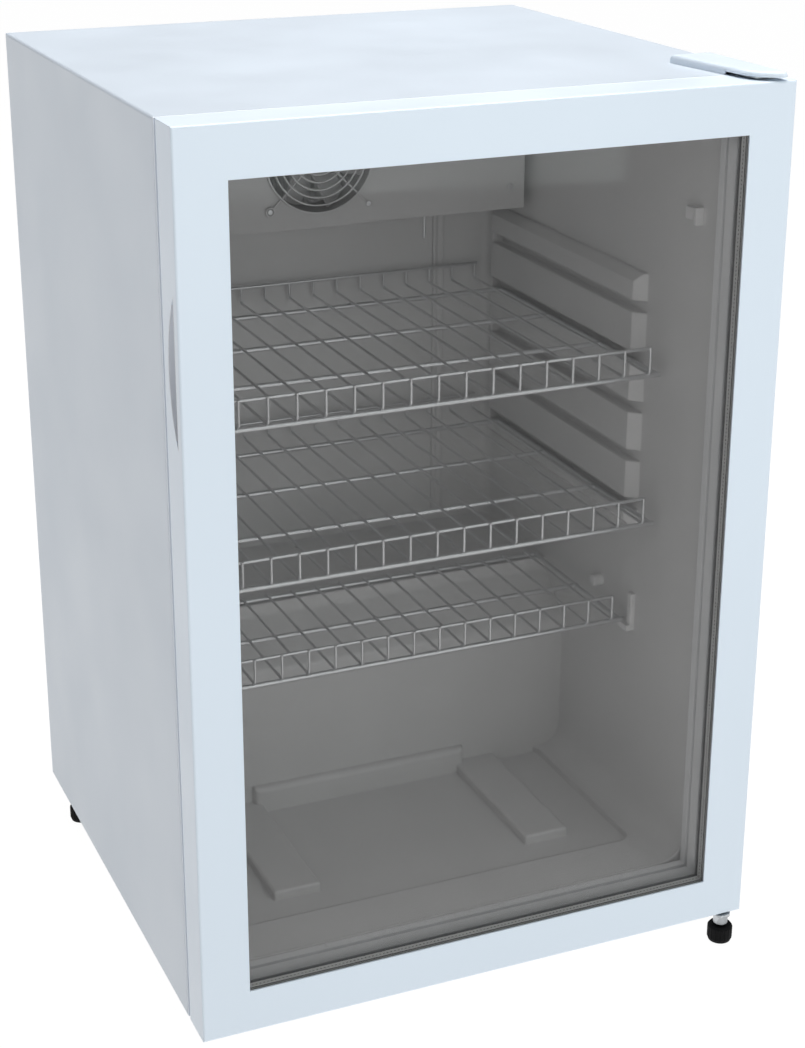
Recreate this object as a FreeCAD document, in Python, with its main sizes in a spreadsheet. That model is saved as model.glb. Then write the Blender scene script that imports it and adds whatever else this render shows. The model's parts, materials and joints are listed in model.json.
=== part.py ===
import FreeCAD, Part
import Sketcher
import math
import os
import re

# Glass-door refrigerated cabinet: a foamed steel cabinet with a thermoformed
# liner, three wire shelves, a fan-blown evaporator behind a cover at the top of
# the back wall, a compressor step at the bottom, and one hinged glass door.
# X runs to the right, Y to the back, Z up. The origin is on the floor, under
# the middle of the whole machine. Heights whose names end in _up count from
# the bottom of the cabinet body, depths ending in _in from the door's face.

Vector = FreeCAD.Vector
doc = FreeCAD.newDocument("GlassDoorCooler")

# ---------------------------------------------------------------- dimensions
DIMENSIONS = [
    # whole machine
    ("total_depth", 566.0), ("cab_width", 550.0), ("body_height", 807.5),
    ("foot_gap", 32.5), ("toe", 6.0), ("door_thick", 43.0), ("gasket_gap", 4.0),
    ("condenser_standoff", 24.0),
    # skins and insulation
    ("sheet_thick", 1.0), ("wrap_radius", 3.0), ("flange_thick", 3.0),
    ("flange_lip", 1.5), ("flange_round", 1.4),
    ("liner_wall", 2.0),
    # cavity inside the liner
    ("cavity_half", 237.0), ("cavity_back_in", 505.0), ("ceiling_up", 767.0),
    ("sill_up", 41.0), ("floor_up", 34.5), ("sill_back_in", 101.0),
    ("pan_half", 209.0), ("cavity_radius", 26.0), ("back_radius", 12.0),
    ("rib_up", 44.0), ("rib_near", 110.0), ("rib_far", 157.0),
    ("rib_front_in", 140.0),
    ("step_in", 312.0), ("step_knee_up", 190.0), ("step_lean", 44.0),
    ("step_lean_up", 232.0), ("step_top_up", 244.2), ("skirt_half", 118.0),
    ("skirt_proud", 9.0), ("skirt_up", 62.0), ("step_foam", 33.0),
    # rail panels on the side walls
    ("rail_proud", 11.0), ("rail_front_in", 165.0), ("rail_back_in", 490.0),
    ("rail_low_up", 346.0), ("rail_high_up", 604.0), ("rail_slope", 10.0),
    ("groove_low_up", 366.2), ("groove_pitch", 49.83), ("groove_height", 11.5),
    ("groove_end", 12.0),
    # shelves
    ("rod_radius", 2.5), ("side_rod_radius", 2.2), ("wire_radius", 1.35),
    ("fence_radius", 1.7), ("weld", 0.45), ("wire_bend", 3.5),
    ("wire_pitch", 26.86), ("shelf_half", 229.0), ("shelf_front_in", 121.5),
    ("shelf_rear_in", 457.0), ("shelf_back_in", 499.0), ("fence_front", 27.5),
    ("fence_rear", 20.5), ("low_shelf_half", 229.0), ("low_shelf_front_in", 173.0),
    ("low_shelf_rear_in", 361.0), ("shelf_lift", 0.3),
    # evaporator cover, fan and coil
    ("cover_front_in", 408.0), ("cover_half", 227.0), ("cover_low_up", 618.0),
    ("cover_sheet", 1.2), ("fan_up", 690.0), ("fan_bore", 57.0),
    ("fan_side", 119.0), ("fan_deep", 38.0), ("fan_screw_half", 52.5),
    ("rotor_radius", 55.0), ("rotor_hub", 21.0), ("shaft_radius", 2.0),
    ("running_gap", 0.05), ("guard_wire", 1.1), ("guard_radius", 57.0),
    ("coil_half", 185.0), ("coil_front_in", 456.0), ("coil_back_in", 498.0),
    ("coil_low_up", 632.0), ("coil_high_up", 756.0), ("coil_tube", 4.0),
    # ceiling control housing
    ("control_half", 78.0), ("control_front_in", 140.0), ("control_back_in", 240.0),
    ("control_drop", 26.0), ("knob_radius", 15.0), ("knob_height", 9.0),
    ("knob_x", 42.0), ("knob_in", 195.0), ("rocker_x", -46.0), ("rocker_in", 205.0),
    ("rocker_pin", 1.2),
    # door
    ("door_side", 44.0), ("door_top", 43.6), ("door_bottom", 41.8),
    ("rebate", 11.0), ("lip", 1.5), ("pane", 3.0), ("pane_gap", 8.0),
    ("door_radius", 5.0), ("retainer_lap", 0.6), ("bead_in", 30.5),
    ("bead_wide", 4.5), ("bead_deep", 5.0), ("gasket_edge", 1.0),
    ("gasket_hinge_edge", 15.0), ("gasket_width", 20.0), ("gasket_slack", 0.3),
    ("grip_low_up", 549.0), ("grip_high_up", 675.0), ("grip_front_in", 10.0),
    ("grip_back_in", 27.0), ("grip_deep", 16.0), ("grip_wall", 1.5),
    # hinges
    ("hinge_x", 258.0), ("hinge_in", 20.0), ("pin_radius", 4.0), ("bush_radius", 7.0),
    ("pin_deep", 14.0), ("plate_thick", 3.0), ("hinge_clear", 1.0),
    ("cap_high", 7.6), ("cap_lift", 3.0), ("cap_wall", 1.6),
    ("cap_round", 4.0), ("hinge_screw_high", 1.6),
    # feet
    ("foot_radius", 12.15), ("foot_height", 18.3), ("stud_radius", 4.0),
    ("foot_front_x", 257.0), ("left_foot_x", 225.0), ("left_foot_in", 84.0),
    ("rear_foot_x", 259.0), ("rear_foot_in", 478.0), ("nut_radius", 7.0),
    ("nut_high", 8.0),
    # machine compartment
    ("bay_wall", 13.0), ("plate_lip", 16.0), ("shell_radius", 72.0),
    ("shell_height", 150.0), ("compressor_x", 78.0), ("compressor_in", 448.0),
    ("grommet_radius", 11.0), ("grommet_height", 14.0), ("drain_radius", 3.6),
    ("shell_wall", 3.0), ("motor_radius", 52.0), ("motor_height", 78.0),
    # condenser
    ("cond_half", 225.0), ("cond_low_up", 262.0), ("cond_high_up", 770.0),
    ("cond_tube", 2.6), ("cond_wire", 0.8), ("cond_runs", 12.0),
    ("cond_wires", 26.0),
]

sheet = doc.addObject("Spreadsheet::Sheet", "Dims")
for row, (alias, value) in enumerate(DIMENSIONS, 1):
    sheet.set("A%d" % row, alias)
    sheet.set("B%d" % row, str(value))
    sheet.setAlias("B%d" % row, alias)
doc.recompute()
ALIASES = {alias for alias, value in DIMENSIONS}


def bound(formula):
    """The formula with each dimension's name pointed at its cell."""
    def point(match):
        word = match.group(0)
        return "Dims." + word if word in ALIASES else word
    return re.sub(r"[a-z_]+", point, formula)


def size(formula):
    """The number that a formula of dimension names gives now, in mm."""
    value = sheet.evalExpression(bound(formula))
    return float(getattr(value, "Value", value))


# ------------------------------------------------------------ named places
DOOR_FACE = "-total_depth / 2 + toe"
DOOR_REAR = DOOR_FACE + " + door_thick"
CAB_FRONT = DOOR_REAR + " + gasket_gap"
FOAM_FRONT = CAB_FRONT + " + flange_thick"
CAB_REAR = "total_depth / 2 - condenser_standoff"
BODY_TOP = "foot_gap + body_height"
CAVITY_REAR = DOOR_FACE + " + cavity_back_in"
BAY_FRONT = DOOR_FACE + " + step_in + step_foam"
BAY_TOP = "foot_gap + step_top_up - step_foam"
COVER_FACE = DOOR_FACE + " + cover_front_in"
PLATE_TOP = "foot_gap + plate_thick"
HINGE_Y = DOOR_FACE + " + hinge_in"
DRAIN_Y = CAVITY_REAR + " - 20"
CONTROL_LOW = "foot_gap + ceiling_up - control_drop"


# ------------------------------------------------------------ small builders
def block(name, x, y, z):
    """A box between two formulas on each axis."""
    box = doc.addObject("Part::Box", name)
    sides = (("Length", "x", x), ("Width", "y", y), ("Height", "z", z))
    for side, axis, (low, high) in sides:
        box.setExpression(side, bound("(%s) - (%s)" % (high, low)))
        box.setExpression("Placement.Base." + axis, bound(low))
    return box


TURNS = {
    "x": FreeCAD.Rotation(Vector(0, 1, 0), 90),
    "y": FreeCAD.Rotation(Vector(1, 0, 0), -90),
    "z": FreeCAD.Rotation(),
}


def rod(name, axis, radius, start, end, across, up):
    """A cylinder along axis; across and up are its two other coordinates."""
    cylinder = doc.addObject("Part::Cylinder", name)
    cylinder.Placement = FreeCAD.Placement(Vector(), TURNS[axis])
    cylinder.setExpression("Radius", bound(radius))
    cylinder.setExpression("Height", bound("(%s) - (%s)" % (end, start)))
    places = [across, up]
    for name_of_axis in "xyz":
        formula = start if name_of_axis == axis else places.pop(0)
        cylinder.setExpression("Placement.Base." + name_of_axis, bound(formula))
    return cylinder


def fuse(name, shapes):
    """One solid from several overlapping ones."""
    joined = doc.addObject("Part::MultiFuse", name)
    joined.Shapes = shapes
    joined.Refine = True
    return joined


def cut(name, base, tools):
    """The base with each tool taken out of it."""
    tool = tools[0] if len(tools) == 1 else fuse(name + "_tools", tools)
    carved = doc.addObject("Part::Cut", name)
    carved.Base = base
    carved.Tool = tool
    return carved


def group(name, solids):
    """Identical loose solids kept together, such as screws."""
    together = doc.addObject("Part::Compound", name)
    together.Links = solids
    return together


def made(name, shape):
    """A document object that holds a shape made with Part's own functions."""
    feature = doc.addObject("Part::Feature", name)
    feature.Shape = shape
    return feature


def rounded(name, base, radius, wanted):
    """The base with the edges that wanted() accepts rounded."""
    doc.recompute()
    edges = enumerate(base.Shape.Edges, 1)
    chosen = [(number, size(radius), size(radius)) for number, edge in edges if wanted(edge)]
    fillet = doc.addObject("Part::Fillet", name)
    fillet.Base = base
    fillet.Edges = chosen
    return fillet


def runs_along(edge, axis):
    """Whether a straight edge is parallel to an axis given as 0, 1 or 2."""
    if not isinstance(edge.Curve, Part.Line):
        return False
    return abs(abs(edge.Curve.Direction[axis]) - 1.0) < 1e-6


def at(edge, axis, value):
    """Whether the middle of an edge is at a coordinate."""
    return abs(edge.CenterOfMass[axis] - value) < 0.01


NODES = {}


def node(name, obj):
    """Name a finished sub-part."""
    obj.Label = name
    NODES[name] = obj
    return obj


def y_in(depth):
    """Row Y of a depth behind the door's face."""
    return size(DOOR_FACE) + depth


def z_up(height):
    """Row Z of a height above the bottom of the body."""
    return size("foot_gap") + height


def polygon(points):
    """A closed face through points."""
    corners = list(points) + [points[0]]
    return Part.Face(Part.makePolygon(corners))


def box_between(low, high):
    """A plain box shape between two corners."""
    span = [high[i] - low[i] for i in range(3)]
    return Part.makeBox(span[0], span[1], span[2], Vector(*low))


def fillet_where(shape, radius, wanted):
    """The shape with the edges that wanted() accepts rounded."""
    return shape.makeFillet(radius, [edge for edge in shape.Edges if wanted(edge)])


def bent_tube(points, bend, radius):
    """A round tube or wire along straight runs joined by tangent arcs."""
    edges = []
    here = points[0]
    for corner, after in zip(points[1:-1], points[2:]):
        back = (here - corner).normalize()
        on = (after - corner).normalize()
        half = back.getAngle(on) / 2
        reach = bend / math.tan(half)
        start = corner + back * reach
        end = corner + on * reach
        middle = corner + (back + on).normalize() * (bend / math.sin(half) - bend)
        edges.append(Part.LineSegment(here, start).toShape())
        edges.append(Part.Arc(start, middle, end).toShape())
        here = end
    edges.append(Part.LineSegment(here, points[-1]).toShape())
    path = Part.Wire(edges)
    way = (points[1] - points[0]).normalize()
    ring = Part.Wire(Part.makeCircle(radius, points[0], way))
    return path.makePipeShell([ring], True, True)


def straight(start, end, radius):
    """A plain round bar between two points."""
    way = end - start
    return Part.makeCylinder(radius, way.Length, start, way)


def union(shapes):
    """One solid from overlapping shapes."""
    return shapes[0].multiFuse(shapes[1:]).removeSplitter()


# ------------------------------------------------------------ cabinet cavity
def step_solid(skin):
    """The step over the machine compartment, seen from inside the cavity."""
    half = size("cavity_half") + 20
    front = y_in(size("step_in")) + skin
    low = z_up(0) + 5
    knee = z_up(size("step_knee_up")) - skin
    lean_y = front + size("step_lean")
    lean_z = z_up(size("step_lean_up")) - skin
    top = z_up(size("step_top_up")) - skin
    rear = size(CAVITY_REAR) + 20
    profile = [(front, low), (front, knee), (lean_y, lean_z), (lean_y, top), (rear, top), (rear, low)]
    face = polygon([Vector(-half, y, z) for y, z in profile])
    solid = face.extrude(Vector(2 * half, 0, 0))

    def soft(edge):
        """The long edges where the wall leans back and meets the top."""
        knees = abs(edge.CenterOfMass.z - knee) < 1 or abs(edge.CenterOfMass.z - lean_z) < 1
        return runs_along(edge, 0) and edge.CenterOfMass.y < rear - 1 and knees
    return fillet_where(solid, 9.0, soft)


def rail_solid(side, skin):
    """One side wall's raised panel with its five shelf grooves."""
    wall = size("cavity_half") + skin
    face_x = wall - size("rail_proud")
    slope = size("rail_slope")
    front = y_in(size("rail_front_in")) + skin
    rear = y_in(size("rail_back_in")) - skin
    low = z_up(size("rail_low_up")) + skin
    high = z_up(size("rail_high_up")) - skin
    outline = [(wall + 5, front), (wall, front), (face_x, front + slope), (face_x, rear - slope)]
    outline += [(wall, rear), (wall + 5, rear)]
    panel = polygon([Vector(x, y, low) for x, y in outline]).extrude(Vector(0, 0, high - low))

    def ends(edge):
        """The top and bottom edges of the panel's face."""
        return runs_along(edge, 1) and at(edge, 0, face_x)
    panel = panel.makeChamfer(slope - 2, [edge for edge in panel.Edges if ends(edge)])
    for count in range(5):
        groove_z = z_up(size("groove_low_up") + count * size("groove_pitch"))
        lowest = (face_x - 1, front - 1, groove_z - skin)
        groove_rear = y_in(size("rail_back_in") - size("groove_end")) + skin
        highest = (wall + 4, groove_rear, groove_z + size("groove_height") + skin)
        panel = panel.cut(box_between(lowest, highest))
    if side < 0:
        panel = panel.mirror(Vector(), Vector(1, 0, 0))
    return panel


def floor_rib(side, skin):
    """A low raised strip along the floor."""
    near = size("rib_near") + skin
    far = size("rib_far") - skin
    if side < 0:
        near, far = -far, -near
    front = y_in(size("rib_front_in")) + skin
    rear = y_in(size("step_in")) + 10
    top = z_up(size("rib_up")) - skin
    rib = box_between((near, front, z_up(size("floor_up")) - 8), (far, rear, top))

    def upper(edge):
        """The rounded top edges, but not the one that meets the step."""
        return at(edge, 2, top) and edge.CenterOfMass.y < rear - 1
    return fillet_where(rib, 2.5, upper)


def cavity(skin):
    """The space inside the liner, grown by skin on every side."""
    half = size("cavity_half") + skin
    front = size(FOAM_FRONT) - 20
    rear = size(CAVITY_REAR) + skin
    sill = z_up(size("sill_up")) - skin
    ceiling = z_up(size("ceiling_up")) + skin
    space = box_between((-half, front, sill), (half, rear, ceiling))
    corner = size("cavity_radius") + skin
    space = fillet_where(space, corner, lambda edge: runs_along(edge, 1))

    def rear_edge(edge):
        """The edges around the back wall."""
        return abs(edge.BoundBox.YMin - rear) < 0.01 and abs(edge.BoundBox.YMax - rear) < 0.01
    space = fillet_where(space, size("back_radius") + skin, rear_edge)
    pan_half = size("pan_half") + skin
    pan_front = y_in(size("sill_back_in")) - skin
    pan_rear = y_in(size("step_in")) + 4
    pan_low = z_up(size("floor_up")) - skin
    pan = box_between((-pan_half, pan_front, pan_low), (pan_half, pan_rear, sill + 12))
    pan = fillet_where(pan, 14.0 + skin, lambda edge: runs_along(edge, 2))
    space = space.fuse(pan)
    space = space.cut(step_solid(skin))
    skirt_half = size("skirt_half") - skin
    skirt_front = y_in(size("step_in") - size("skirt_proud")) + skin
    skirt_top = z_up(size("skirt_up")) - skin
    skirt = box_between((-skirt_half, skirt_front, pan_low - 10), (skirt_half, pan_rear + 20, skirt_top))

    def skirt_edges(edge):
        """The skirt's top front edge and its two upright front edges."""
        front_edge = at(edge, 1, skirt_front)
        return front_edge and (at(edge, 2, skirt_top) or runs_along(edge, 2))
    space = space.cut(fillet_where(skirt, 6.0, skirt_edges))
    for side in (-1, 1):
        space = space.cut(rail_solid(side, skin))
        space = space.cut(floor_rib(side, skin))
    return space.removeSplitter()


inner_cavity = made("inner_cavity", cavity(0.0))
outer_cavity = made("outer_cavity", cavity(size("liner_wall")))


# ------------------------------------------------------------ cabinet shell
def outer_wrap():
    """One sheet folded over both sides and the top."""
    half = "cab_width / 2"
    outside = block("wrap_outside", ("-" + half, half), (CAB_FRONT, CAB_REAR), ("foot_gap", BODY_TOP))
    top = size(BODY_TOP)
    soft = rounded("wrap_soft", outside, "wrap_radius", lambda e: runs_along(e, 1) and at_top(e, top))
    inner = half + " - sheet_thick"
    room = block("wrap_room", ("-(%s)" % inner, inner), (CAB_FRONT + " - 1", CAB_REAR + " + 1"),
                 ("foot_gap - 1", BODY_TOP + " - sheet_thick"))
    inside = rounded("wrap_inside", room, "wrap_radius - sheet_thick",
                     lambda e: runs_along(e, 1) and at_top(e, top - size("sheet_thick")))
    node("outer_wrap", cut("outer_wrap", soft, [inside]))


def at_top(edge, height):
    """Whether an edge lies at a height."""
    return at(edge, 2, height)


def wrapped_block(name, y, low, high):
    """A block that fits inside the wrap, with its rounded upper corners."""
    half = "cab_width / 2 - sheet_thick"
    plain = block(name + "_plain", ("-(%s)" % half, half), y, (low, high))
    top = size(high)
    return rounded(name, plain, "wrap_radius - sheet_thick", lambda e: runs_along(e, 1) and at_top(e, top))


def mouth_solid():
    """The opening in the front ring, a little narrower than the cavity behind it."""
    lip = size("flange_lip")
    half = size("cavity_half") - lip
    low = (-half, size(CAB_FRONT) - 5, z_up(size("sill_up")))
    high = (half, size(FOAM_FRONT) + 5, z_up(size("ceiling_up")) - lip)
    corner = size("cavity_radius") - lip
    return fillet_where(box_between(low, high), corner, lambda edge: runs_along(edge, 1))


def front_flange():
    """The flat ring that the door closes against."""
    ring = wrapped_block("flange_block", (CAB_FRONT, FOAM_FRONT), "foot_gap", BODY_TOP + " - sheet_thick")
    mouth = made("flange_mouth", mouth_solid())
    opened = cut("flange_opened", ring, [mouth])
    front = size(CAB_FRONT)
    edge_x = size("cab_width / 2") - 5

    def mouth_edge(edge):
        """The inner edge of the ring's front face."""
        reach = edge.BoundBox
        inside = max(abs(reach.XMin), abs(reach.XMax)) < edge_x and reach.ZMax < size(BODY_TOP) - 5
        return inside and reach.ZMin > size("foot_gap") + 5 and at(edge, 1, front)
    node("front_flange", rounded("front_flange", opened, "flange_round", mouth_edge))


def inner_liner():
    """The thermoformed lining of the cold space."""
    half = "cavity_half + liner_wall"
    around = block("liner_block", ("-(%s)" % half, half), (FOAM_FRONT, CAVITY_REAR + " + liner_wall"),
                   ("foot_gap + floor_up - liner_wall", "foot_gap + ceiling_up + liner_wall"))
    skin = doc.addObject("Part::Common", "liner_skin")
    skin.Base = around
    skin.Tool = outer_cavity
    drain = rod("liner_drain", "z", "drain_radius", BAY_TOP, "foot_gap + step_top_up + 1", "0", DRAIN_Y)
    node("inner_liner", cut("inner_liner", skin, [inner_cavity, drain]))


def bay_space():
    """The machine compartment, open at the back and underneath."""
    half = "cab_width / 2 - bay_wall"
    return block("bay_space", ("-(%s)" % half, half), (BAY_FRONT, CAB_REAR + " + 5"),
                 ("foot_gap - 5", BAY_TOP))


def foam_insulation():
    """The rigid foam between the skins."""
    solid = wrapped_block("foam_block", (FOAM_FRONT, CAB_REAR + " - sheet_thick"),
                          "foot_gap + sheet_thick", BODY_TOP + " - sheet_thick")
    step_top = "foot_gap + step_top_up"
    tube = rod("drain_bore", "z", "drain_radius + 1.4", BAY_TOP + " - 5", step_top, "0", DRAIN_Y)
    node("foam_insulation", cut("foam_insulation", solid, [outer_cavity, bay_space(), tube]))


def back_panel():
    """The sheet that closes the foam at the back."""
    half = "cab_width / 2 - sheet_thick"
    node("back_panel", block("back_panel", ("-(%s)" % half, half), (CAB_REAR + " - sheet_thick", CAB_REAR),
                             (BAY_TOP, BODY_TOP + " - wrap_radius")))


def base_pan():
    """The sheet under the front part of the cabinet."""
    half = "cab_width / 2 - sheet_thick"
    node("base_pan", block("base_pan", ("-(%s)" % half, half), (FOAM_FRONT, BAY_FRONT),
                           ("foot_gap", "foot_gap + sheet_thick")))


# ------------------------------------------------------------ machine bay
def compressor_plate():
    """The steel plate across the back that carries the compressor."""
    half = "cab_width / 2 - bay_wall"
    plate = block("plate_flat", ("-(%s)" % half, half), (BAY_FRONT, CAB_REAR), ("foot_gap", PLATE_TOP))
    sides = []
    for name, low, high in (("left", "-(%s)" % half, "-(%s) + 2" % half), ("right", half + " - 2", half)):
        sides.append(block("plate_lip_" + name, (low, high), (BAY_FRONT, CAB_REAR),
                           ("foot_gap", PLATE_TOP + " + plate_lip")))
    holes = [rod("plate_hole_%d" % i, "z", "5", "foot_gap - 1", PLATE_TOP + " + 1", x, y)
             for i, (x, y) in enumerate(mount_spots())]
    flat = cut("plate_drilled", plate, holes)
    node("compressor_plate", fuse("compressor_plate", [flat] + sides))


def mount_spots():
    """Formulas for the compressor's four mounting points."""
    spots = []
    for x_way in ("-", "+"):
        for y_way in ("-", "+"):
            spots.append(("compressor_x %s 82" % x_way, DOOR_FACE + " + compressor_in %s 48" % y_way))
    return spots


def grommets():
    """Rubber mounts under the compressor's feet."""
    pads = []
    for i, (x, y) in enumerate(mount_spots()):
        pad = rod("pad_%d" % i, "z", "grommet_radius", PLATE_TOP, PLATE_TOP + " + grommet_height", x, y)
        stem = rod("pad_stem_%d" % i, "z", "5", "foot_gap", PLATE_TOP + " + 1", x, y)
        pads.append(fuse("grommet_%d" % i, [pad, stem]))
    node("compressor_grommets", group("compressor_grommets", pads))


def domed(radius, height, low, bend):
    """An upright cylinder with its two ends rounded, over the compressor's place."""
    base = Vector(size("compressor_x"), y_in(size("compressor_in")), low)
    body = Part.makeCylinder(radius, height, base)
    return fillet_where(body, bend, lambda e: isinstance(e.Curve, Part.Circle))


def compressor():
    """The hermetic shell: two domed halves with a welded seam, on a foot rail."""
    radius = size("shell_radius")
    height = size("shell_height")
    wall = size("shell_wall")
    low = size(PLATE_TOP + " + grommet_height")
    centre = Vector(size("compressor_x"), y_in(size("compressor_in")), low)
    shell = domed(radius, height, low + 4, 38.0)
    seam = Part.makeCylinder(radius + 4, 5, centre + Vector(0, 0, height * 0.52))
    seam = fillet_where(seam, 1.5, lambda e: isinstance(e.Curve, Part.Circle))
    rails = []
    for way in (-1, 1):
        y = centre.y + way * 48
        rails.append(box_between((centre.x - 96, y - 13, low), (centre.x + 96, y + 13, low + 4)))
    web = box_between((centre.x - 50, centre.y - 50, low), (centre.x + 50, centre.y + 50, low + 12))
    hollow = domed(radius - wall, height - 2 * wall, low + 4 + wall, 35.0)
    node("compressor_shell", made("compressor_shell", union([shell, seam, web] + rails).cut(hollow)))


def compressor_motor():
    """The motor and pump block inside the shell, on three short legs."""
    floor = size(PLATE_TOP + " + grommet_height") + 4 + size("shell_wall")
    centre = Vector(size("compressor_x"), y_in(size("compressor_in")), floor)
    stack = Part.makeCylinder(size("motor_radius"), size("motor_height"), centre + Vector(0, 0, 14))
    block_low = centre + Vector(-30, -34, 14 + size("motor_height") - 1)
    crankcase = box_between(tuple(block_low), tuple(block_low + Vector(60, 68, 26)))
    head = Part.makeCylinder(17, 18, block_low + Vector(59, 34, 13), Vector(1, 0, 0))
    legs = []
    for count in range(3):
        angle = math.radians(90 + 120 * count)
        spot = centre + Vector(math.cos(angle), math.sin(angle), 0) * 28
        legs.append(Part.makeCylinder(5, 15, spot))
    node("compressor_motor", made("compressor_motor", union([stack, crankcase, head] + legs)))


def relay_box():
    """The plastic cover over the start relay, on the shell's left."""
    x = "compressor_x - shell_radius"
    y = DOOR_FACE + " + compressor_in"
    z = PLATE_TOP + " + grommet_height"
    across = (y + " - 26", y + " + 26")
    box = block("relay_block", (x + " - 34", x + " + 1"), across, (z + " + 18", z + " + 74"))
    soft = rounded("relay_soft", box, "wrap_radius", lambda e: e.CenterOfMass.x < size(x) - 10)
    doc.recompute()
    round_room = made("relay_room", domed(size("shell_radius"), size("shell_height"), size(z) + 4, 38.0))
    node("relay_cover", cut("relay_cover", soft, [round_room]))


def drip_tray():
    """The tray on the compressor where the defrost water dries off."""
    x = "compressor_x"
    y = DOOR_FACE + " + compressor_in"
    low = PLATE_TOP + " + grommet_height + shell_height + 4"
    outer = block("tray_outer", (x + " - 88", x + " + 88"), (y + " - 56", y + " + 50"), (low, low + " + 24"))
    inner_y = (y + " - 54", y + " + 48")
    inner = block("tray_inner", (x + " - 86", x + " + 86"), inner_y, (low + " + 2", low + " + 30"))
    soft = rounded("tray_soft", outer, "8", lambda e: runs_along(e, 2))
    room = rounded("tray_room", inner, "6", lambda e: runs_along(e, 2))
    node("drip_tray", cut("drip_tray", soft, [room]))


def drain_tube():
    """The tube from the cold space down to the drip tray."""
    low = PLATE_TOP + " + grommet_height + shell_height + 14"
    high = "foot_gap + step_top_up - liner_wall"
    tube = rod("drain_outer", "z", "drain_radius + 1.4", low, high, "0", DRAIN_Y)
    bore = rod("drain_inner", "z", "drain_radius", low + " - 1", high + " + 1", "0", DRAIN_Y)
    node("drain_tube", cut("drain_tube", tube, [bore]))


def refrigerant_lines():
    """Copper lines between compressor, condenser and cold coil, and the drier."""
    centre_x = size("compressor_x")
    shell = size("shell_radius")
    y = y_in(size("compressor_in"))
    z = size(PLATE_TOP + " + grommet_height")
    rear = size(CAB_REAR) + 6
    bay_top = size(BAY_TOP)
    outside = domed(shell, size("shell_height"), z + 4, 38.0)
    side = size("cab_width / 2 - bay_wall") - 22
    discharge = [Vector(centre_x + shell - 8, y + 20, z + 60), Vector(centre_x + shell + 30, y + 20, z + 60),
                 Vector(centre_x + shell + 30, y + 20, z + 130), Vector(side, y + 20, z + 130),
                 Vector(side, y + 20, bay_top - 14), Vector(side, rear + 5, bay_top - 14),
                 Vector(side, rear + 5, z_up(size("cond_low_up")) + 12)]
    node("discharge_line", made("discharge_line", bent_tube(discharge, 9, 3.0).cut(outside)))
    suction = [Vector(centre_x - 20, y + shell - 12, z + 44), Vector(centre_x - 20, y + shell + 14, z + 44),
               Vector(centre_x - 20, y + shell + 14, z + 20), Vector(-20, y + shell + 14, z + 20),
               Vector(-20, y + shell + 14, bay_top - 0.2)]
    node("suction_line", made("suction_line", bent_tube(suction, 9, 3.2).cut(outside)))
    drier_x = -120
    drier = straight(Vector(drier_x, y, z + 40), Vector(drier_x, y, z + 130), 9.5)
    drier = fillet_where(drier, 7.0, lambda e: isinstance(e.Curve, Part.Circle))
    tail = straight(Vector(drier_x, y, z + 120), Vector(drier_x, y, bay_top - 0.2), 2.2)
    stem = bent_tube([Vector(drier_x, y, z + 60), Vector(drier_x, y, z + 14),
                      Vector(drier_x, y + 50, z + 14), Vector(-side, y + 50, z + 14),
                      Vector(-side, y + 50, bay_top - 14), Vector(-side, rear + 5, bay_top - 14),
                      Vector(-side, rear + 5, z_up(size("cond_low_up")) + 12)], 9, 2.6)
    node("filter_drier", made("filter_drier", union([drier, tail, stem])))
    clip_low = Vector(drier_x, y, bay_top - 40)
    strap = Part.makeCylinder(13, 10, clip_low).cut(Part.makeCylinder(2.2, 10, clip_low))
    node("drier_strap", made("drier_strap", strap))


def cord_gland():
    """The bushing in the plate's rear corner where a mains lead would enter."""
    x = "-cab_width / 2 + bay_wall + 40"
    y = CAB_REAR + " - 24"
    flange = rod("gland_flange", "z", "10", PLATE_TOP, PLATE_TOP + " + 3", x, y)
    barrel = rod("gland_barrel", "z", "7", PLATE_TOP + " + 2", PLATE_TOP + " + 14", x, y)
    bore = rod("gland_bore", "z", "3.6", PLATE_TOP + " - 1", PLATE_TOP + " + 15", x, y)
    node("cord_gland", cut("cord_gland", fuse("gland_solid", [flange, barrel]), [bore]))


# ------------------------------------------------------------ condenser
def condenser():
    """A serpentine tube with upright wires on both of its sides."""
    half = size("cond_half")
    tube = size("cond_tube")
    wire = size("cond_wire")
    y = size("total_depth / 2") - 2 * wire - tube - 0.05
    runs = int(size("cond_runs"))
    low = z_up(size("cond_low_up")) + 12
    pitch = (z_up(size("cond_high_up")) - 12 - low) / (runs - 1)
    side = size("cab_width / 2 - bay_wall") - 22
    points = [Vector(-side, y, low)]
    for count in range(runs):
        z = low + count * pitch
        ends = (-half, half) if count % 2 == 0 else (half, -half)
        if count:
            points.append(Vector(ends[0], y, z))
        if count < runs - 1:
            points.append(Vector(ends[1], y, z))
    points.append(Vector(-side, y, z_up(size("cond_high_up")) - 12))
    coil = bent_tube(points, pitch / 2 - 1, tube)
    node("condenser_tube", made("condenser_tube", coil))
    wires = []
    count = int(size("cond_wires"))
    span = half - 22
    for number in range(count):
        x = -span + 2 * span * number / (count - 1)
        for way in (-1, 1):
            wire_y = y + way * (tube + wire + 0.05)
            wires.append(straight(Vector(x, wire_y, z_up(size("cond_low_up"))),
                                  Vector(x, wire_y, z_up(size("cond_high_up"))), wire))
    node("condenser_wires", made("condenser_wires", Part.makeCompound(wires)))
    brackets = []
    gap = y - tube - 2 * wire - 0.2
    for x in (-half + 8, half - 8):
        for z in (low + 1.5 * pitch, low + (runs - 2.5) * pitch):
            foot = box_between((x - 8, size(CAB_REAR), z - 9), (x + 8, size(CAB_REAR) + 2, z + 9))
            arm = box_between((x - 8, size(CAB_REAR) + 1, z - 1.5), (x + 8, gap, z + 1.5))
            brackets.append(union([foot, arm]))
    node("condenser_brackets", made("condenser_brackets", Part.makeCompound(brackets)))


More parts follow.
